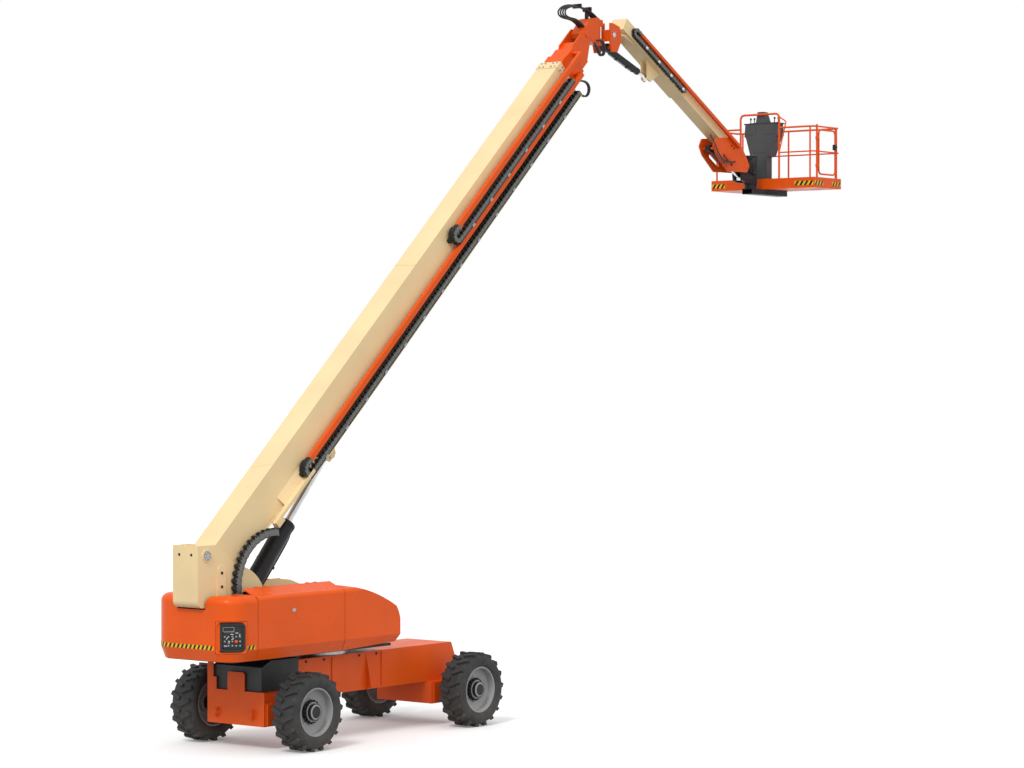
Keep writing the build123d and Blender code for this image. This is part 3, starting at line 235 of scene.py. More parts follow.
# Finish of each record slot's solids
slot_finish = {
    "tyre_rubber": "rubber", "wheel_grey": "wheel", "axle_black": "black", "paint_orange": "orange",
    "cover_black": "black_plastic", "bare_steel": "steel", "paint_dark": "black", "paint_cream": "cream",
    "cast_weight": "black", "cover_orange": "cover", "panel_black": "black_plastic",
    "engine_metal": "steel", "chain_grey": "chain", "rod_chrome": "chrome", "console_grey": "console",
}
for subpart in frame["record"]["subparts"]:
    solid = nodes[subpart["node"]]
    solid.data.materials.clear()
    solid.data.materials.append(materials[slot_finish[subpart["material_slot"]]])


# Frames: boom (along, across, normal) and jib, each from its pivot
boom_rise = math.radians(42.7)
jib_fall = math.radians(30)
boom_frame = Matrix.Translation(joints["boom_lift"]["pos_m"]) @ Matrix.Rotation(-boom_rise, 4, "Y")
jib_frame = Matrix.Translation(joints["jib_lift"]["pos_m"]) @ Matrix.Rotation(jib_fall, 4, "Y")
world_frame = Matrix.Identity(4)


def joint_point(name):
    return Vector(joints[name]["pos_m"])


# Mesh helpers
def facing(point, normal, along=(0, 0, 1)):
    """Matrix at a point, with Z along a normal and X as near a direction as it can be."""
    z = Vector(normal).normalized()
    x = Vector(along) - z * Vector(along).dot(z)
    if x.length < 1e-6:
        x = z.orthogonal()
    x.normalize()
    place = Matrix((x, z.cross(x), z)).transposed().to_4x4()
    place.translation = point
    return place


def add_prism(mesh, place, outline, low, high):
    """Prism of an outline in the place's XY plane, from a low to a high Z."""
    rings = [[mesh.verts.new(place @ Vector((x, y, z))) for x, y in outline] for z in (low, high)]
    mesh.faces.new(rings[0][::-1])
    mesh.faces.new(rings[1])
    for i in range(len(outline)):
        mesh.faces.new((rings[0][i - 1], rings[0][i], rings[1][i], rings[1][i - 1]))


def add_box(mesh, place, x, y, z):
    add_prism(mesh, place, [(x[0], y[0]), (x[1], y[0]), (x[1], y[1]), (x[0], y[1])], *z)


def circle(radius, sides, centre=(0, 0)):
    turns = [math.tau * i / sides for i in range(sides)]
    return [(centre[0] + radius * math.cos(t), centre[1] + radius * math.sin(t)) for t in turns]


def rounded(width, height, radius, steps=5):
    """Outline of a rectangle with rounded corners, about the origin."""
    points = []
    for corner, (cx, cy) in enumerate(((1, 1), (-1, 1), (-1, -1), (1, -1))):
        for step in range(steps + 1):
            turn = math.pi / 2 * (corner + step / steps)
            points.append((cx * (width / 2 - radius) + radius * math.cos(turn),
                           cy * (height / 2 - radius) + radius * math.sin(turn)))
    return points


def add_bolt(mesh, place, radius):
    """Hexagon bolt on a washer, its head along the place's Z."""
    add_prism(mesh, place, circle(radius * 1.35, 20), -0.002, radius * 0.22)
    add_prism(mesh, place, circle(radius, 6), radius * 0.2, radius * 0.85)
    add_prism(mesh, place, circle(radius * 0.72, 16), radius * 0.8, radius * 0.95)


def add_frame(mesh, place, outer, inner, low, high):
    """Ring between two outlines with the same number of points."""
    loops = [[mesh.verts.new(place @ Vector((x, y, z))) for x, y in outline]
             for outline, z in ((outer, low), (outer, high), (inner, high), (inner, low))]
    for a, b in zip(loops, loops[1:] + loops[:1]):
        for i in range(len(outer)):
            mesh.faces.new((a[i - 1], a[i], b[i], b[i - 1]))


finish_slot = {finish: slot for slot, finish in slot_finish.items()}
finish_slot.update({"black": "paint_dark", "black_plastic": "cover_black", "steel": "bare_steel",
                    "hose": "cover_black", "yellow": "cover_orange", "white": "bare_steel"})


def make_piece(name, body, finish, mesh, edge=0.0, replaces=None):
    """Object from a bmesh that rides a body, with rounded edges where an edge width is given."""
    data = bpy.data.meshes.new(name)
    bmesh.ops.recalc_face_normals(mesh, faces=mesh.faces)
    mesh.to_mesh(data)
    mesh.free()
    data.materials.append(materials[finish])
    data.shade_smooth()
    data.set_sharp_from_angle(angle=math.radians(35))
    piece = bpy.data.objects.new(name, data)
    bpy.context.scene.collection.objects.link(piece)
    if edge:
        bevel = piece.modifiers.new("edge", "BEVEL")
        bevel.width = edge
        bevel.segments = 2
        bevel.limit_method = "ANGLE"
    if body:
        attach(piece, body)
    if replaces:
        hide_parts(replaces)
    return piece


def make_pipes(name, body, finish, radius, routes):
    """Formed pipes or hoses, clamped at both ends: one smooth curve for each route."""
    data = bpy.data.curves.new(name, "CURVE")
    data.dimensions = "3D"
    data.bevel_depth = radius
    data.bevel_resolution = 3
    data.use_fill_caps = True
    for route in routes:
        spline = data.splines.new("NURBS")
        spline.points.add(len(route) - 1)
        for point, place in zip(spline.points, route):
            point.co = (*place, 1.0)
        spline.order_u = 4 if len(route) > 3 else 3
        spline.use_endpoint_u = True
        spline.resolution_u = 8
    data.materials.append(materials[finish])
    piece = bpy.data.objects.new(name, data)
    bpy.context.scene.collection.objects.link(piece)
    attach(piece, body)


# Cable carriers
def loop_places(loop, lead, front, mid, pitch):
    """Link places (along, normal, heading) down a lead, round a half loop and along the run."""
    loop_s, loop_n = loop
    arc = math.pi * mid
    total = lead + arc + front - loop_s
    count = round(total / pitch)
    places = []
    for step in range(count):
        way = (step + 0.5) * total / count
        turn = min(max(way - lead, 0.0), arc) / mid
        before = max(lead - way, 0.0)
        after = max(way - lead - arc, 0.0)
        along = loop_s + before + after - mid * math.sin(turn)
        places.append((along, loop_n + mid * math.cos(turn), math.pi + turn))
    return places, total / count


def circle_through(a, b, c):
    """Centre and radius of the circle through three points."""
    (ax, ay), (bx, by), (cx, cy) = a, b, c
    d = 2 * (ax * (by - cy) + bx * (cy - ay) + cx * (ay - by))
    ux = ((ax**2 + ay**2) * (by - cy) + (bx**2 + by**2) * (cy - ay) + (cx**2 + cy**2) * (ay - by)) / d
    uy = ((ax**2 + ay**2) * (cx - bx) + (bx**2 + by**2) * (ax - cx) + (cx**2 + cy**2) * (bx - ax)) / d
    return (ux, uy), math.hypot(ax - ux, ay - uy)


def rise_places(low, bend, via, end, pitch):
    """Link places up a straight run, then along the arc from its top through a point to an end."""
    (cx, cy), radius = circle_through(bend, via, end)
    start = math.atan2(bend[1] - cy, bend[0] - cx)
    sweep = math.atan2(end[1] - cy, end[0] - cx) - start
    sweep = sweep - math.tau if sweep > 0 else sweep
    straight = bend[1] - low[1]
    total = straight - sweep * radius
    count = round(total / pitch)
    places = []
    for step in range(count):
        way = (step + 0.5) * total / count
        turn = start - max(way - straight, 0.0) / radius
        height = min(way, straight) - straight
        along = cx + radius * math.cos(turn)
        places.append((along, cy + radius * math.sin(turn) + height, turn - math.pi / 2))
    return places, total / count


def add_links(plates, cores, frame_matrix, places, pitch, across, height):
    """Chain links: two waisted side plates, an inner and an outer bar and the hose pack between."""
    half = height / 2
    low, high = across
    wall = 0.012
    outline = [(-0.54 * pitch, half), (0.54 * pitch, half), (0.5 * pitch, -0.12 * half), (0.3 * pitch, -half),
               (-0.3 * pitch, -half), (-0.5 * pitch, -0.12 * half)]
    for along, normal, heading in places:
        x_dir = Vector((math.cos(heading), 0, math.sin(heading)))
        out = Vector((math.sin(heading), 0, -math.cos(heading)))
        local = Matrix((x_dir, out, x_dir.cross(out))).transposed().to_4x4()
        local.translation = Vector((along, 0, normal))
        place = frame_matrix @ local
        flip = 1 if x_dir.cross(out).y > 0 else -1
        for start in (low, high - wall):
            limits = sorted((flip * start, flip * (start + wall)))
            add_prism(plates, place, outline, *limits)
            pin = sorted((flip * (start - 0.003), flip * (start + wall + 0.003)))
            add_prism(plates, place, circle(0.17 * height, 12, (-0.5 * pitch, 0.1 * half)), *pin)
        inside = sorted((flip * (low + wall), flip * (high - wall)))
        add_box(cores, place, (-0.5 * pitch, 0.5 * pitch), (-0.55 * half, 0.62 * half), inside)
        over = sorted((flip * (low - 0.002), flip * (high + 0.002)))
        add_box(cores, place, (-0.2 * pitch, 0.2 * pitch), (-half - 0.006, -0.74 * half), over)
        add_box(cores, place, (-0.28 * pitch, 0.28 * pitch), (0.84 * half, half + 0.003), over)


def make_chain(name, body, node, frame_matrix, runs, across, height):
    plates, cores = bmesh.new(), bmesh.new()
    for places, pitch in runs:
        add_links(plates, cores, frame_matrix, places, pitch, across, height)
    links = make_piece(f"{name}_links", body, "chain", plates, replaces=node)
    bars = make_piece(f"{name}_bars", body, "black_plastic", cores)
    return links, bars


# Centres of the rear loops (along, normal), the lead behind them and where the runs end
carrier_loops = ((7.390, -0.296), (2.370, -0.561))
carrier_lead = 0.12
carrier_end = 11.45
boom_runs = [loop_places(loop, carrier_lead, carrier_end, 0.083, 0.095) for loop in carrier_loops]
make_chain("boom_chain", "boom_base", "boom_carriers", boom_frame, boom_runs, (-0.355, -0.265), 0.08)
jib_runs = [loop_places((0.520, 0.398), carrier_lead, 2.24, 0.054, 0.078)]
make_chain("jib_chain", "jib_outer", "jib_carrier", jib_frame, jib_runs, (-0.225, -0.155), 0.056)
hose_run = rise_places((-2.645, 1.385), (-2.645, 2.480), (-2.490, 2.860), (-1.783, 3.163), 0.105)
hose_chain = make_chain("hose_chain", None, "hose_carrier", world_frame, [hose_run], (-0.355, -0.26), 0.11)
for chain_piece in hose_chain:
    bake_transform(chain_piece)


def make_carrier_trim():
    """Guards over the rear loops and clips along the trays."""
    guards, clips = bmesh.new(), bmesh.new()
    first_clip, clip_pitch, last_clip = 0.35, 0.62, 11.3
    for loop_s, loop_n in carrier_loops:
        turns = [math.radians(75 + 12 * i) for i in range(10)]
        outer = [(loop_s + 0.150 * math.cos(t), loop_n + 0.150 * math.sin(t)) for t in turns]
        inner = [(loop_s + 0.134 * math.cos(t), loop_n + 0.134 * math.sin(t)) for t in turns]
        place = boom_frame @ Matrix.Rotation(math.radians(90), 4, "X")
        add_prism(guards, place, outer + inner[::-1], 0.258, 0.362)
        lug_n = (loop_n - 0.03, loop_n + 0.03)
        add_box(guards, boom_frame, (loop_s - 0.16, loop_s - 0.10), (-0.30, -0.21), lug_n)
        low = loop_n - 0.123
        for step in range(int((last_clip - loop_s) / clip_pitch)):
            s = loop_s + first_clip + clip_pitch * step
            add_box(clips, boom_frame, (s, s + 0.07), (-0.372, -0.356), (low - 0.012, low + 0.03))
            add_bolt(clips, boom_frame @ facing((s + 0.035, -0.372, low + 0.012), (0, -1, 0)), 0.012)
    make_piece("carrier_guards", "boom_base", "black", guards, 0.003)
    make_piece("carrier_clips", "boom_base", "steel", clips, 0.002)


make_carrier_trim()


# Boom base: collar bolts, weld seams and bottom flange
def make_boom_trim():
    bolts, flange, seams = bmesh.new(), bmesh.new(), bmesh.new()
    collar_bolt = 0.013
    for row_s in (11.385, 11.475):
        for y in (-0.16, -0.08, 0.08, 0.16):
            for n, up in ((-0.040, 1), (-0.660, -1)):
                add_bolt(bolts, boom_frame @ facing((row_s, y, n), (0, 0, up)), collar_bolt)
        for n in (-0.13, -0.21, -0.49, -0.57):
            for side in (-1, 1):
                add_bolt(bolts, boom_frame @ facing((row_s, side * 0.220, n), (0, side, 0)), collar_bolt)
    for side in (-1, 1):
        y = sorted((side * 0.185, side * 0.222))
        add_box(flange, boom_frame, (0.6, 11.34), y, (-0.662, -0.646))
    for s, tilt in ((1.9, 0.22), (6.4, 0.0)):
        place = boom_frame @ Matrix.Translation((s, 0, -0.05)) @ Matrix.Rotation(tilt, 4, "Z")
        add_box(seams, place, (-0.007, 0.007), (-0.205, 0.205), (-0.004, 0.004))
    add_box(seams, boom_frame, (1.45, 1.62), (-0.06, 0.06), (-0.70, -0.648))
    make_piece("boom_bolts", "boom_base", "steel", bolts)
    make_piece("boom_flange", "boom_base", "cream", flange, 0.003)
    make_piece("boom_seams", "boom_base", "cream", seams, 0.002)


make_boom_trim()


def make_hose_channel():
    """Cream hose channel up to the lower carrier, the strip under that, and the guard beside the well."""
    channel, guard = bmesh.new(), bmesh.new()
    start, end = 1.28, 2.42
    add_box(channel, boom_frame, (start, end), (-0.362, -0.266), (-0.634, -0.625))
    add_box(channel, boom_frame, (start, end), (-0.364, -0.356), (-0.664, -0.606))
    add_box(channel, boom_frame, (start, 1.45), (-0.366, -0.264), (-0.720, -0.630))
    add_box(channel, boom_frame, (end, carrier_end), (-0.366, -0.262), (-0.703, -0.694))
    # Leaning plate up to the boom's side, drawn across the boom and swept along it
    lean = [(-0.272, -0.633), (-0.264, -0.627), (-0.208, -0.470), (-0.214, -0.468)]
    sweep = boom_frame @ Matrix(((0, 0, 1, 0), (1, 0, 0, 0), (0, 1, 0, 0), (0, 0, 0, 1)))
    add_prism(channel, sweep, lean, 1.66, end)
    outline = [(-1.75, 2.25), (-1.52, 2.33), (-1.24, 2.385), (-0.94, 2.395), (-0.66, 2.365), (-0.44, 2.29),
               (-0.36, 2.20), (-1.75, 2.20)]
    place = Matrix.Rotation(math.radians(90), 4, "X")
    add_prism(guard, place, outline, -0.462, -0.448)
    make_piece("hose_channel", "boom_base", "cream", channel, 0.003)
    make_piece("well_guard", "turntable", "cream", guard, 0.004)


make_hose_channel()


def make_upright_trim():
    """Pin caps at the boom's heel and bolts on the support."""
    caps, bolts = bmesh.new(), bmesh.new()
    heel = joint_point("boom_lift")
    heel_face = 0.265
    for side in (-1, 1):
        place = facing(heel + Vector((0, side * heel_face, 0)), (0, side, 0))
        add_prism(caps, place, circle(0.068, 32), -0.01, 0.014)
        add_prism(caps, place, circle(0.03, 24), 0.01, 0.022)
        for turn in range(6):
            spot = (0.05 * math.cos(turn * math.pi / 3), 0.05 * math.sin(turn * math.pi / 3), 0.013)
            add_bolt(bolts, place @ Matrix.Translation(spot), 0.006)
        for z in (2.42, 2.62):
            add_bolt(bolts, facing((-2.905, side * 0.262, z), (0, side, 0)), 0.017)
    for y in (-0.12, 0.12):
        add_bolt(bolts, facing((-3.39, y, 2.90), (-1, 0, 0)), 0.015)
    make_piece("heel_caps", "turntable", "steel", caps, 0.003)
    make_piece("upright_bolts", "turntable", "black", bolts)


make_upright_trim()


# Tail: hazard band along the crease and the ground control panel
tail_rear, tail_side, tail_radius = -3.27, 0.80, 0.33


def tail_point(way):
    """Point and outward direction on the tail's plan, from the middle of the rear to the right."""
    straight = tail_side - tail_radius
    arc = tail_radius * math.pi / 2
    if abs(way) <= straight:
        return Vector((tail_rear, -way, 0)), Vector((-1, 0, 0))
    side = 1 if way > 0 else -1
    turn = min(abs(way) - straight, arc) / tail_radius
    out = Vector((-math.cos(turn), -side * math.sin(turn), 0))
    centre = Vector((tail_rear + tail_radius, -side * straight, 0))
    after = max(abs(way) - straight - arc, 0.0)
    return centre + out * tail_radius + Vector((after, 0, 0)), out


def add_band(mesh, spans, z, lean, lift):
    """Bent strips on the tail, each a span of way, leaning by a distance from bottom to top."""
    for start, end in spans:
        rows = []
        for step in range(7):
            column = []
            for level, shift in ((z[0], 0.0), (z[1], lean)):
                point, out = tail_point(start + (end - start) * step / 6 + shift)
                column.append(mesh.verts.new(point + out * lift + Vector((0, 0, level))))
            rows.append(column)
        for a, b in zip(rows, rows[1:]):
            mesh.faces.new((a[0], b[0], b[1], a[1]))


def make_tail_band():
    yellow_strip, black_strip = bmesh.new(), bmesh.new()
    z = (1.536, 1.598)
    pitch = 0.082
    for first, last in ((-1.28, 0.475), (0.985, 1.22)):
        count = int((last - first) / pitch)
        spans = [(first + pitch * i, first + pitch * (i + 1)) for i in range(count)]
        add_band(yellow_strip, spans, z, 0.0, 0.002)
        add_band(black_strip, [(a + 0.004, a + 0.044) for a, _ in spans], z, 0.028, 0.0032)
    make_piece("tail_band", "turntable", "yellow", yellow_strip)
    make_piece("tail_band_stripes", "turntable", "black", black_strip)


make_tail_band()


def make_panel():
    """Ground controls: bezel, display, gauges, switches and a stop knob, without words."""
    corner = Vector((tail_rear + tail_radius, -tail_side + tail_radius, 1.72))
    out = Vector((-1, -1, 0)).normalized()
    face = corner + out * (tail_radius * 0.78 - 0.02)
    place = facing(face, out, (0, 0, 1)) @ Matrix.Rotation(math.radians(-90), 4, "Z")
    bezel, glass, marks, knobs, stop, surround = (bmesh.new() for _ in range(6))
    add_frame(surround, place, rounded(0.446, 0.466, 0.02), rounded(0.412, 0.432, 0.07), -0.03, 0.03)
    add_prism(surround, place, [(-0.222, -0.2), (-0.158, -0.2), (-0.158, 0.2), (-0.222, 0.2)], -0.02, 0.012)
    place = place @ Matrix.Translation((0.022, 0, 0))
    add_frame(bezel, place, rounded(0.366, 0.424, 0.055), rounded(0.302, 0.340, 0.02), -0.02, 0.026)
    add_prism(glass, place, rounded(0.150, 0.058, 0.008), -0.022, -0.008)
    add_frame(marks, place @ Matrix.Translation((-0.06, 0.115, 0)), rounded(0.160, 0.068, 0.010),
              rounded(0.152, 0.060, 0.008), -0.012, -0.006)
    for dash_x, dash_y, turn in ((-0.08, -0.01, 50), (-0.01, 0.045, -8), (0.06, 0.065, 0), (0.10, 0.03, 80),
                                 (0.0, -0.02, 35), (-0.05, -0.07, 70), (-0.10, -0.125, 10)):
        spot = place @ Matrix.Translation((dash_x, dash_y, 0)) @ Matrix.Rotation(math.radians(turn), 4, "Z")
        add_box(marks, spot, (-0.021, 0.021), (-0.0045, 0.0045), (-0.012, -0.006))
    for column in range(5):
        for row, y in enumerate((0.012, -0.055, -0.118)):
            spot = place @ Matrix.Translation((-0.115 + 0.055 * column, y, 0))
            if (column, row) == (3, 1):
                continue
            add_prism(knobs, spot, circle(0.012, 16), -0.02, -0.006)
            add_prism(knobs, spot @ Matrix.Rotation(0.35, 4, "X"), circle(0.004, 10), -0.01, 0.016)
    knob = place @ Matrix.Translation((0.05, -0.055, 0))
    add_prism(stop, knob, circle(0.015, 24), -0.02, 0.004)
    add_prism(stop, knob, circle(0.024, 24), 0.002, 0.018)
    make_piece("panel_surround", "turntable", "cover", surround, 0.004)
    make_piece("panel_bezel", "turntable", "black_plastic", bezel, 0.004)
    make_piece("panel_display", "turntable", "black", glass, 0.002)
    make_piece("panel_marks", "turntable", "white", marks)
    make_piece("panel_switches", "turntable", "steel", knobs)
    make_piece("panel_stop", "turntable", "cover", stop, 0.003)


make_panel()


def make_hood_trim():
    """Latches on both hoods and vents on the left one."""
    for side, body in ((-1, "hood_right"), (1, "hood_left")):
        latch = bmesh.new()
        place = facing((-1.95, side * tail_side, 2.05), (0, side, 0), (1, 0, 0))
        add_prism(latch, place, rounded(0.075, 0.05, 0.018), -0.004, 0.008)
        add_prism(latch, place, circle(0.014, 20), 0.006, 0.014)
        make_piece(f"{body}_latch", body, "steel", latch, 0.002)
    vent = bmesh.new()
    for step in range(7):
        place = facing((-1.35 + 0.05 * step, tail_side, 1.72), (0, 1, 0), (1, 0, 0))
        add_box(vent, place, (-0.011, 0.011), (-0.09, 0.09), (-0.004, 0.004))
    make_piece("hood_left_vents", "hood_left", "black_plastic", vent, 0.002)


make_hood_trim()


# Wheels: hub drums with cog rings, wheel nuts
def make_hubs():
    cog_count, drum_bolts, nut_count = 18, 12, 10
    for corner in ("fl", "fr", "rl", "rr"):
        side = 1 if corner.endswith("l") else -1
        low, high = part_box(f"tyre_{corner}")
        place = facing((low + high) / 2, (0, side, 0))
        drum, nuts = bmesh.new(), bmesh.new()
        add_prism(drum, place, circle(0.156, 48), 0.034, 0.112)
        add_prism(drum, place, circle(0.124, 48), 0.110, 0.168)
        add_prism(drum, place, circle(0.088, 40), 0.166, 0.180)
        for cog in range(cog_count):
            turn = Matrix.Rotation(math.tau * cog / cog_count, 4, "Z")
            add_box(drum, place @ turn, (0.150, 0.178), (-0.014, 0.014), (0.062, 0.098))
        for bolt in range(drum_bolts):
            turn = Matrix.Rotation(math.tau * (bolt + 0.5) / drum_bolts, 4, "Z")
            add_bolt(nuts, place @ turn @ Matrix.Translation((0.138, 0, 0.112)), 0.008)
            if bolt % 2:
                add_bolt(nuts, place @ turn @ Matrix.Translation((0.104, 0, 0.168)), 0.007)
        for bolt in range(nut_count):
            turn = Matrix.Rotation(math.tau * bolt / nut_count, 4, "Z")
            add_bolt(nuts, place @ turn @ Matrix.Translation((0.200, 0, 0.046)), 0.014)
        make_piece(f"hub_drum_{corner}", f"wheel_{corner}", "black", drum, 0.003)
        make_piece(f"wheel_nuts_{corner}", f"wheel_{corner}", "steel", nuts)


make_hubs()


# Chassis: frame and axle bolts, ribs and the slew ring's bolts
def make_chassis_trim():
    bolts, ribs = bmesh.new(), bmesh.new()
    ring_centre, ring_radius, ring_bolts = joint_point("slew").x, 0.385, 24
    for side in (-1, 1):
        for x in (-1.30, -0.9, -0.1, 0.3):
            add_bolt(bolts, facing((x, side * 0.45, 1.22), (0, side, 0)), 0.016)
        for x in (1.62, 2.0):
            for z in (0.46, 0.60):
                add_bolt(bolts, facing((x, side * 0.56, z), (0, side, 0)), 0.016)
        for x in (0.42, -0.72):
            across = sorted((side * 0.448, side * 0.468))
            add_box(ribs, world_frame, (x - 0.012, x + 0.012), across, (0.72, 1.24))
    for turn in range(ring_bolts):
        angle = turn * math.tau / ring_bolts
        spot = (ring_centre + ring_radius * math.cos(angle), ring_radius * math.sin(angle), 1.265)
        add_bolt(bolts, facing(spot, (0, 0, 1)), 0.014)
    make_piece("chassis_bolts", "chassis", "black", bolts)
    make_piece("chassis_ribs", "chassis", "orange", ribs, 0.004)


make_chassis_trim()


# Hydraulic cylinders: gland rings, feed pipes and clamps
def make_cylinder_trim(name, body, foot, angle, length, radius):
    """Gland ring, clamps and two feed pipes under a barrel that lies in the XZ plane."""
    axis = Vector((math.cos(angle), 0, math.sin(angle)))
    under = Vector((math.sin(angle), 0, -math.cos(angle)))
    rings, bands = bmesh.new(), bmesh.new()
    sides = 40
    gland = facing(foot + axis * (length - 0.06), axis)
    add_frame(rings, gland, circle(radius * 1.04, sides), circle(radius * 0.9, sides), 0.0, 0.05)
    for share in (0.35, 0.68):
        spot = foot + axis * length * share
        outer, inner = circle(radius * 1.02, sides), circle(radius * 0.96, sides)
        add_frame(bands, facing(spot, axis), outer, inner, -0.014, 0.014)
        add_box(bands, facing(spot, axis, under), (radius * 0.96, radius * 1.28),
                (-radius * 0.5, radius * 0.5), (-0.02, 0.02))
    make_piece(f"{name}_gland", body, "black", rings, 0.003)
    make_piece(f"{name}_clamps", body, "black", bands, 0.002)
    routes = []
    start = foot + axis * length * 0.12
    end = foot + axis * (length - 0.10)
    for y in (-radius * 0.3, radius * 0.3):
        shift = Vector((0, y, 0))
        lane = shift + under * radius * 1.16
        routes.append([
            start + under * radius * 0.7 + shift, start + lane, start + lane + axis * length * 0.1,
            end + lane - axis * length * 0.15, end + lane - axis * 0.05, end + under * radius * 0.9 + shift,
        ])
    make_pipes(f"{name}_pipes", body, "hose", radius * 0.09, routes)


def tilt_between(start, end):
    run = end - start
    return math.atan2(run.z, run.x)


lift_foot = joint_point("lift_barrel_tilt")
lift_eye = boom_frame @ Vector((3.040, 0, -0.930))
make_cylinder_trim("lift", "lift_barrel", lift_foot, tilt_between(lift_foot, lift_eye), 2.25, 0.138)
jib_foot = joint_point("jib_barrel_tilt")
jib_eye = jib_frame @ Vector((1.377, 0, 0.056))
make_cylinder_trim("jib_cylinder", "jib_barrel", jib_foot, tilt_between(jib_foot, jib_eye), 1.0, 0.058)


# Tip: formed hoses on the tip and on the second boom section, swivel sleeve, bolts on the knuckle
def make_tip_trim():
    hoses = []
    for lane in range(4):
        y = -0.09 + 0.04 * lane
        rise = 0.012 * lane
        hoses.append([(6.10, y, 11.31), (5.94, y, 11.43), (5.72, y, 11.42), (5.55 - rise, y, 11.46),
                      (5.56 - rise, y, 11.57), (5.74, y, 11.63 + rise), (5.98, y, 11.64 + rise),
                      (6.26, y, 11.61 + rise), (6.46, y, 11.50)])
    make_pipes("tip_hoses", "tip", "hose", 0.014, hoses)
    clamps = bmesh.new()
    for x, z in ((5.98, 11.64), (6.26, 11.61)):
        add_box(clamps, world_frame, (x - 0.02, x + 0.02), (-0.115, 0.055), (z - 0.022, z + 0.052))
    add_box(clamps, world_frame, (6.24, 6.28), (-0.05, 0.01), (11.46, 11.60))
    make_piece("tip_hose_clamps", "tip", "black", clamps, 0.004)
    side_hoses = []
    for lane in range(2):
        y = -0.185 - 0.035 * lane
        side_hoses.append([(6.40, -0.10, 11.10), (6.43, y, 11.13), (6.50, y, 11.05), (6.52, y, 10.92),
                           (6.46, y, 10.84), (6.36, y, 10.86), (6.32, y, 10.97), (6.34, -0.10, 11.08)])
    make_pipes("tip_side_hoses", "tip", "hose", 0.016, side_hoses)
    low_hoses = []
    for lane in range(2):
        y = -0.31 + 0.03 * lane
        route = [(11.60, y, -0.53), (11.72, y, -0.62), (11.78, y, -0.74), (11.70, y, -0.86),
                 (11.56, y, -0.86), (11.50, y, -0.76)]
        low_hoses.append([boom_frame @ Vector(point) for point in route])
    make_pipes("carrier_hoses", "boom_mid_outer", "hose", 0.015, low_hoses)
    sleeve = bmesh.new()
    pin = joint_point("jib_swing")
    add_prism(sleeve, Matrix.Translation((pin.x, 0, 0)), circle(0.050, 32), 11.16, 11.37)
    for z in (11.17, 11.25, 11.35):
        place = Matrix.Translation((pin.x, 0, z))
        add_frame(sleeve, place, circle(0.055, 32), circle(0.049, 32), -0.006, 0.006)
    make_piece("swivel_sleeve", "tip", "chrome", sleeve, 0.002)
    bolts = bmesh.new()
    knuckle = joint_point("jib_lift")
    ring = 0.078
    for side in (-1, 1):
        for turn in range(8):
            angle = turn * math.pi / 4
            spot = knuckle + Vector((ring * math.cos(angle), side * 0.195, ring * math.sin(angle)))
            add_bolt(bolts, facing(spot, (0, side, 0)), 0.008)
    make_piece("knuckle_bolts", "jib_knuckle", "steel", bolts)
    caps = bmesh.new()
    for side in (-1, 1):
        place = facing(knuckle + Vector((0, side * 0.203, 0)), (0, side, 0))
        add_prism(caps, place, circle(0.042, 32), -0.004, 0.004)
        add_prism(caps, place, circle(0.020, 24), 0.003, 0.009)
    make_piece("knuckle_caps", "jib_knuckle", "chrome", caps, 0.002)


make_tip_trim()


# Jib: clamps along the carrier, hose loops on the fork
def make_jib_trim():
    clips, lugs = bmesh.new(), bmesh.new()
    for step in range(4):
        s = 0.85 + 0.42 * step
        add_box(clips, jib_frame, (s, s + 0.05), (-0.242, -0.226), (0.31, 0.35))
        add_bolt(clips, jib_frame @ facing((s + 0.025, -0.242, 0.33), (0, -1, 0)), 0.010)
    for s in (1.75, 1.95):
        place = jib_frame @ facing((s, -0.152, 0.33), (0, -1, 0), (1, 0, 0))
        add_prism(lugs, place, circle(0.03, 20), -0.002, 0.012)
    make_piece("jib_clips", "jib_outer", "white", clips, 0.002)
    make_piece("jib_bosses", "jib_outer", "cream", lugs, 0.003)
    loops = []
    for lane in range(3):
        y = -0.205 - 0.022 * lane
        drop = 0.03 * lane
        route = [(3.30, -0.17, 0.16), (3.42, y, 0.10 - drop), (3.62, y, -0.02 - drop),
                 (3.86, y, -0.05 - drop), (4.08, y, 0.06), (4.22, -0.17, 0.18)]
        loops.append([jib_frame @ Vector(point) for point in route])
    make_pipes("fork_hoses", "jib_inner", "hose", 0.011, loops)
    bolts = bmesh.new()
    for side in (-1, 1):
        for s, n in ((3.985, 0.36), (4.07, 0.36), (3.985, 0.44), (4.07, 0.44)):
            add_bolt(bolts, jib_frame @ facing((s, side * 0.165, n), (0, side, 0)), 0.012)
    make_piece("fork_bolts", "jib_inner", "black", bolts)


make_jib_trim()


# Platform
def add_hazard(patches, stripes, place, span, rows):
    """Yellow patches with a leaning black stripe on each, along a span between two rows."""
    (start, end), (first, second) = span, rows
    count = int((end - start) / 0.09)
    for step in range(count):
        a = start + (end - start) * step / count
        b = start + (end - start) * (step + 1) / count
        lean = (b - a) * 0.5
        stripe = [(a, first), (a + lean, first), (b, second), (b - lean, second)]
        add_prism(patches, place, [(a, first), (b, first), (b, second), (a, second)], -0.001, 0.002)
        add_prism(stripes, place, stripe, 0.001, 0.003)


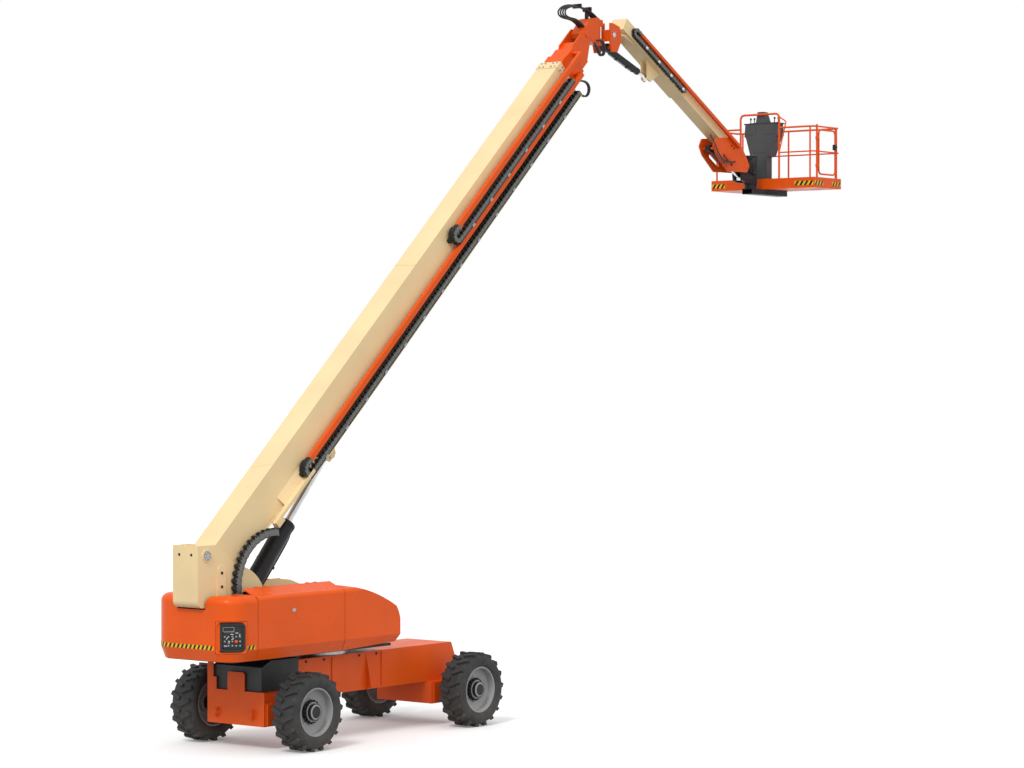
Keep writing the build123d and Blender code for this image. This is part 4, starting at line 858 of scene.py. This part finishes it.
def make_platform_trim():
    low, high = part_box("platform_floor")
    yellow_patch, black_patch = bmesh.new(), bmesh.new()
    band = (low.z + 0.045, low.z + 0.125)
    # Hazard patches on the rear toe board, then on the right one
    place = facing((low.x, 0, 0), (-1, 0, 0), (0, 1, 0))
    for span in ((high.y - 0.30, high.y - 0.02), (low.y + 0.02, low.y + 0.42)):
        add_hazard(yellow_patch, black_patch, place, span, (-band[1], -band[0]))
    place = facing((0, low.y, 0), (0, -1, 0), (1, 0, 0))
    for span in ((low.x + 0.02, low.x + 0.30), (high.x - 0.30, high.x - 0.02)):
        add_hazard(yellow_patch, black_patch, place, span, band)
    make_piece("toe_board_patches", "platform", "yellow", yellow_patch)
    make_piece("toe_board_stripes", "platform", "black", black_patch)
    tread = bmesh.new()
    for row in range(8):
        for column in range(20):
            spot = (low.x + 0.30 + 0.075 * row, low.y + 0.14 + 0.105 * column, low.z + 0.008)
            turn = 0.78 if (row + column) % 2 else -0.78
            place = Matrix.Translation(spot) @ Matrix.Rotation(turn, 4, "Z")
            add_prism(tread, place, rounded(0.05, 0.014, 0.006, 2), -0.001, 0.003)
    make_piece("floor_tread", "platform", "orange", tread)
    latch = bmesh.new()
    gate_low, gate_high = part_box("gate")
    add_box(latch, world_frame, (gate_high.x - 0.07, gate_high.x - 0.004),
            (gate_low.y - 0.006, gate_low.y + 0.05), (gate_high.z - 0.36, gate_high.z - 0.26))
    knob = facing((gate_high.x - 0.035, gate_low.y - 0.006, gate_high.z - 0.31), (0, -1, 0))
    add_prism(latch, knob, circle(0.018, 20), -0.002, 0.02)
    make_piece("gate_latch", "gate", "black_plastic", latch, 0.004)


make_platform_trim()


def make_console_trim():
    """Cover lip, levers and bare plates on the platform console."""
    low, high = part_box("control_console")
    face_x = low.x
    mid_y = (low.y + high.y) / 2
    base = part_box("platform_floor")[0].z
    lip, knobs, plates = bmesh.new(), bmesh.new(), bmesh.new()
    top = base + 1.218
    add_box(lip, world_frame, (face_x - 0.004, face_x + 0.262), (mid_y - 0.362, mid_y + 0.362),
            (base + 1.196, top))
    for y in (-0.30, -0.22, 0.22, 0.30):
        spot = Vector((face_x + 0.13, mid_y + y, top))
        add_prism(knobs, facing(spot, (0, 0, 1)), circle(0.026, 20), -0.004, 0.012)
        add_prism(knobs, facing(spot, (0.1, 0, 1)), circle(0.009, 12), 0.0, 0.085)
        grip = facing(spot + Vector((0.008, 0, 0.085)), (0.1, 0, 1))
        add_prism(knobs, grip, circle(0.017, 16), -0.012, 0.022)
    for side in (-1, 1):
        place = facing((face_x, mid_y + side * 0.20, base + 1.09), (-1, 0, 0), (0, 1, 0))
        add_prism(plates, place, rounded(0.20, 0.16, 0.02), -0.001, 0.006)
    place = facing((face_x + 0.008, mid_y, base + 0.78), (-1, 0, 0), (0, 1, 0))
    add_prism(plates, place, rounded(0.26, 0.22, 0.03), -0.001, 0.012)
    make_piece("console_lip", "platform", "black_plastic", lip, 0.006)
    make_piece("console_levers", "platform", "black_plastic", knobs)
    make_piece("console_plates", "platform", "console", plates, 0.004)


make_console_trim()


def make_rotator_trim():
    """Flange bolts on the platform rotator and hoses clamped to it."""
    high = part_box("rotator")[1]
    centre = Vector((high.x - 0.12, 0, 0))
    bolts = bmesh.new()
    for turn in range(12):
        angle = turn * math.tau / 12
        spot = centre + Vector((0.095 * math.cos(angle), 0.095 * math.sin(angle), high.z))
        add_bolt(bolts, facing(spot, (0, 0, 1)), 0.010)
    make_piece("rotator_bolts", "rotator", "steel", bolts)
    hoses = []
    for lane in range(3):
        y = -0.125 - 0.025 * lane
        hoses.append([centre + Vector(point) for point in (
            (-0.02, -0.11, high.z - 0.06), (-0.06, y, high.z - 0.02), (-0.16, y - 0.02, high.z - 0.06),
            (-0.20, y - 0.02, high.z - 0.22), (-0.12, y, high.z - 0.34), (-0.02, -0.11, high.z - 0.36))])
    make_pipes("rotator_hoses", "rotator", "hose", 0.011, hoses)


make_rotator_trim()


# Stage
def make_floor():
    """Floor that is white to the camera and in reflections, and dim as a light."""
    bpy.ops.mesh.primitive_plane_add(size=400)
    floor = bpy.context.object
    floor.name = "floor"
    material, tree, shader = new_material("floor_white")
    shader.inputs["Base Color"].default_value = grey(0.94)
    shader.inputs["Roughness"].default_value = 0.9
    shader.inputs["Specular IOR Level"].default_value = 0.0
    path = tree.nodes.new("ShaderNodeLightPath")
    glow = add_node(tree, "ShaderNodeEmission", Strength=0.12)
    dim = add_node(tree, "ShaderNodeBsdfDiffuse", Color=grey(0.3))
    add = tree.nodes.new("ShaderNodeAddShader")
    seen = add_node(tree, "ShaderNodeMixShader")
    either = add_node(tree, "ShaderNodeMath")
    either.operation = "MAXIMUM"
    tree.links.new(path.outputs["Is Camera Ray"], either.inputs[0])
    tree.links.new(path.outputs["Is Glossy Ray"], either.inputs[1])
    tree.links.new(shader.outputs["BSDF"], add.inputs[0])
    tree.links.new(glow.outputs["Emission"], add.inputs[1])
    tree.links.new(either.outputs["Value"], seen.inputs["Fac"])
    tree.links.new(dim.outputs["BSDF"], seen.inputs[1])
    tree.links.new(add.outputs["Shader"], seen.inputs[2])
    tree.links.new(seen.outputs["Shader"], tree.nodes["Material Output"].inputs["Surface"])
    floor.data.materials.append(material)


def make_world():
    world = bpy.data.worlds.new("studio")
    bpy.context.scene.world = world
    world.use_nodes = True
    tree = world.node_tree
    light = tree.nodes["Background"]
    light.inputs["Color"].default_value = (1, 1, 1, 1)
    light.inputs["Strength"].default_value = sky_level
    backdrop = add_node(tree, "ShaderNodeBackground", Color=(1, 1, 1, 1), Strength=1.0)
    path = tree.nodes.new("ShaderNodeLightPath")
    either = add_node(tree, "ShaderNodeMath")
    either.operation = "MAXIMUM"
    seen = tree.nodes.new("ShaderNodeMixShader")
    tree.links.new(path.outputs["Is Camera Ray"], either.inputs[0])
    tree.links.new(path.outputs["Is Transmission Ray"], either.inputs[1])
    tree.links.new(either.outputs["Value"], seen.inputs["Fac"])
    tree.links.new(light.outputs["Background"], seen.inputs[1])
    tree.links.new(backdrop.outputs["Background"], seen.inputs[2])
    tree.links.new(seen.outputs["Shader"], tree.nodes["World Output"].inputs["Surface"])


def make_lamps():
    lamps = (("key", sun_level, sun_from, sun_softness), ("fill", fill_level, fill_from, fill_softness))
    for name, level, come_from, softness in lamps:
        data = bpy.data.lights.new(name, "SUN")
        data.energy = level
        data.angle = softness
        lamp = bpy.data.objects.new(name, data)
        lamp.rotation_euler = come_from.to_track_quat("Z", "Y").to_euler()
        bpy.context.scene.collection.objects.link(lamp)


def make_camera():
    data = bpy.data.cameras.new("camera")
    data.lens = camera_lens
    data.sensor_width = 36
    data.clip_end = 500
    camera = bpy.data.objects.new("camera", data)
    camera.location = camera_place
    camera.rotation_euler = (camera_target - camera_place).to_track_quat("-Z", "Y").to_euler()
    bpy.context.scene.collection.objects.link(camera)
    bpy.context.scene.camera = camera


bpy.context.scene.view_settings.view_transform = "Standard"
make_floor()
make_world()
make_lamps()
make_camera()
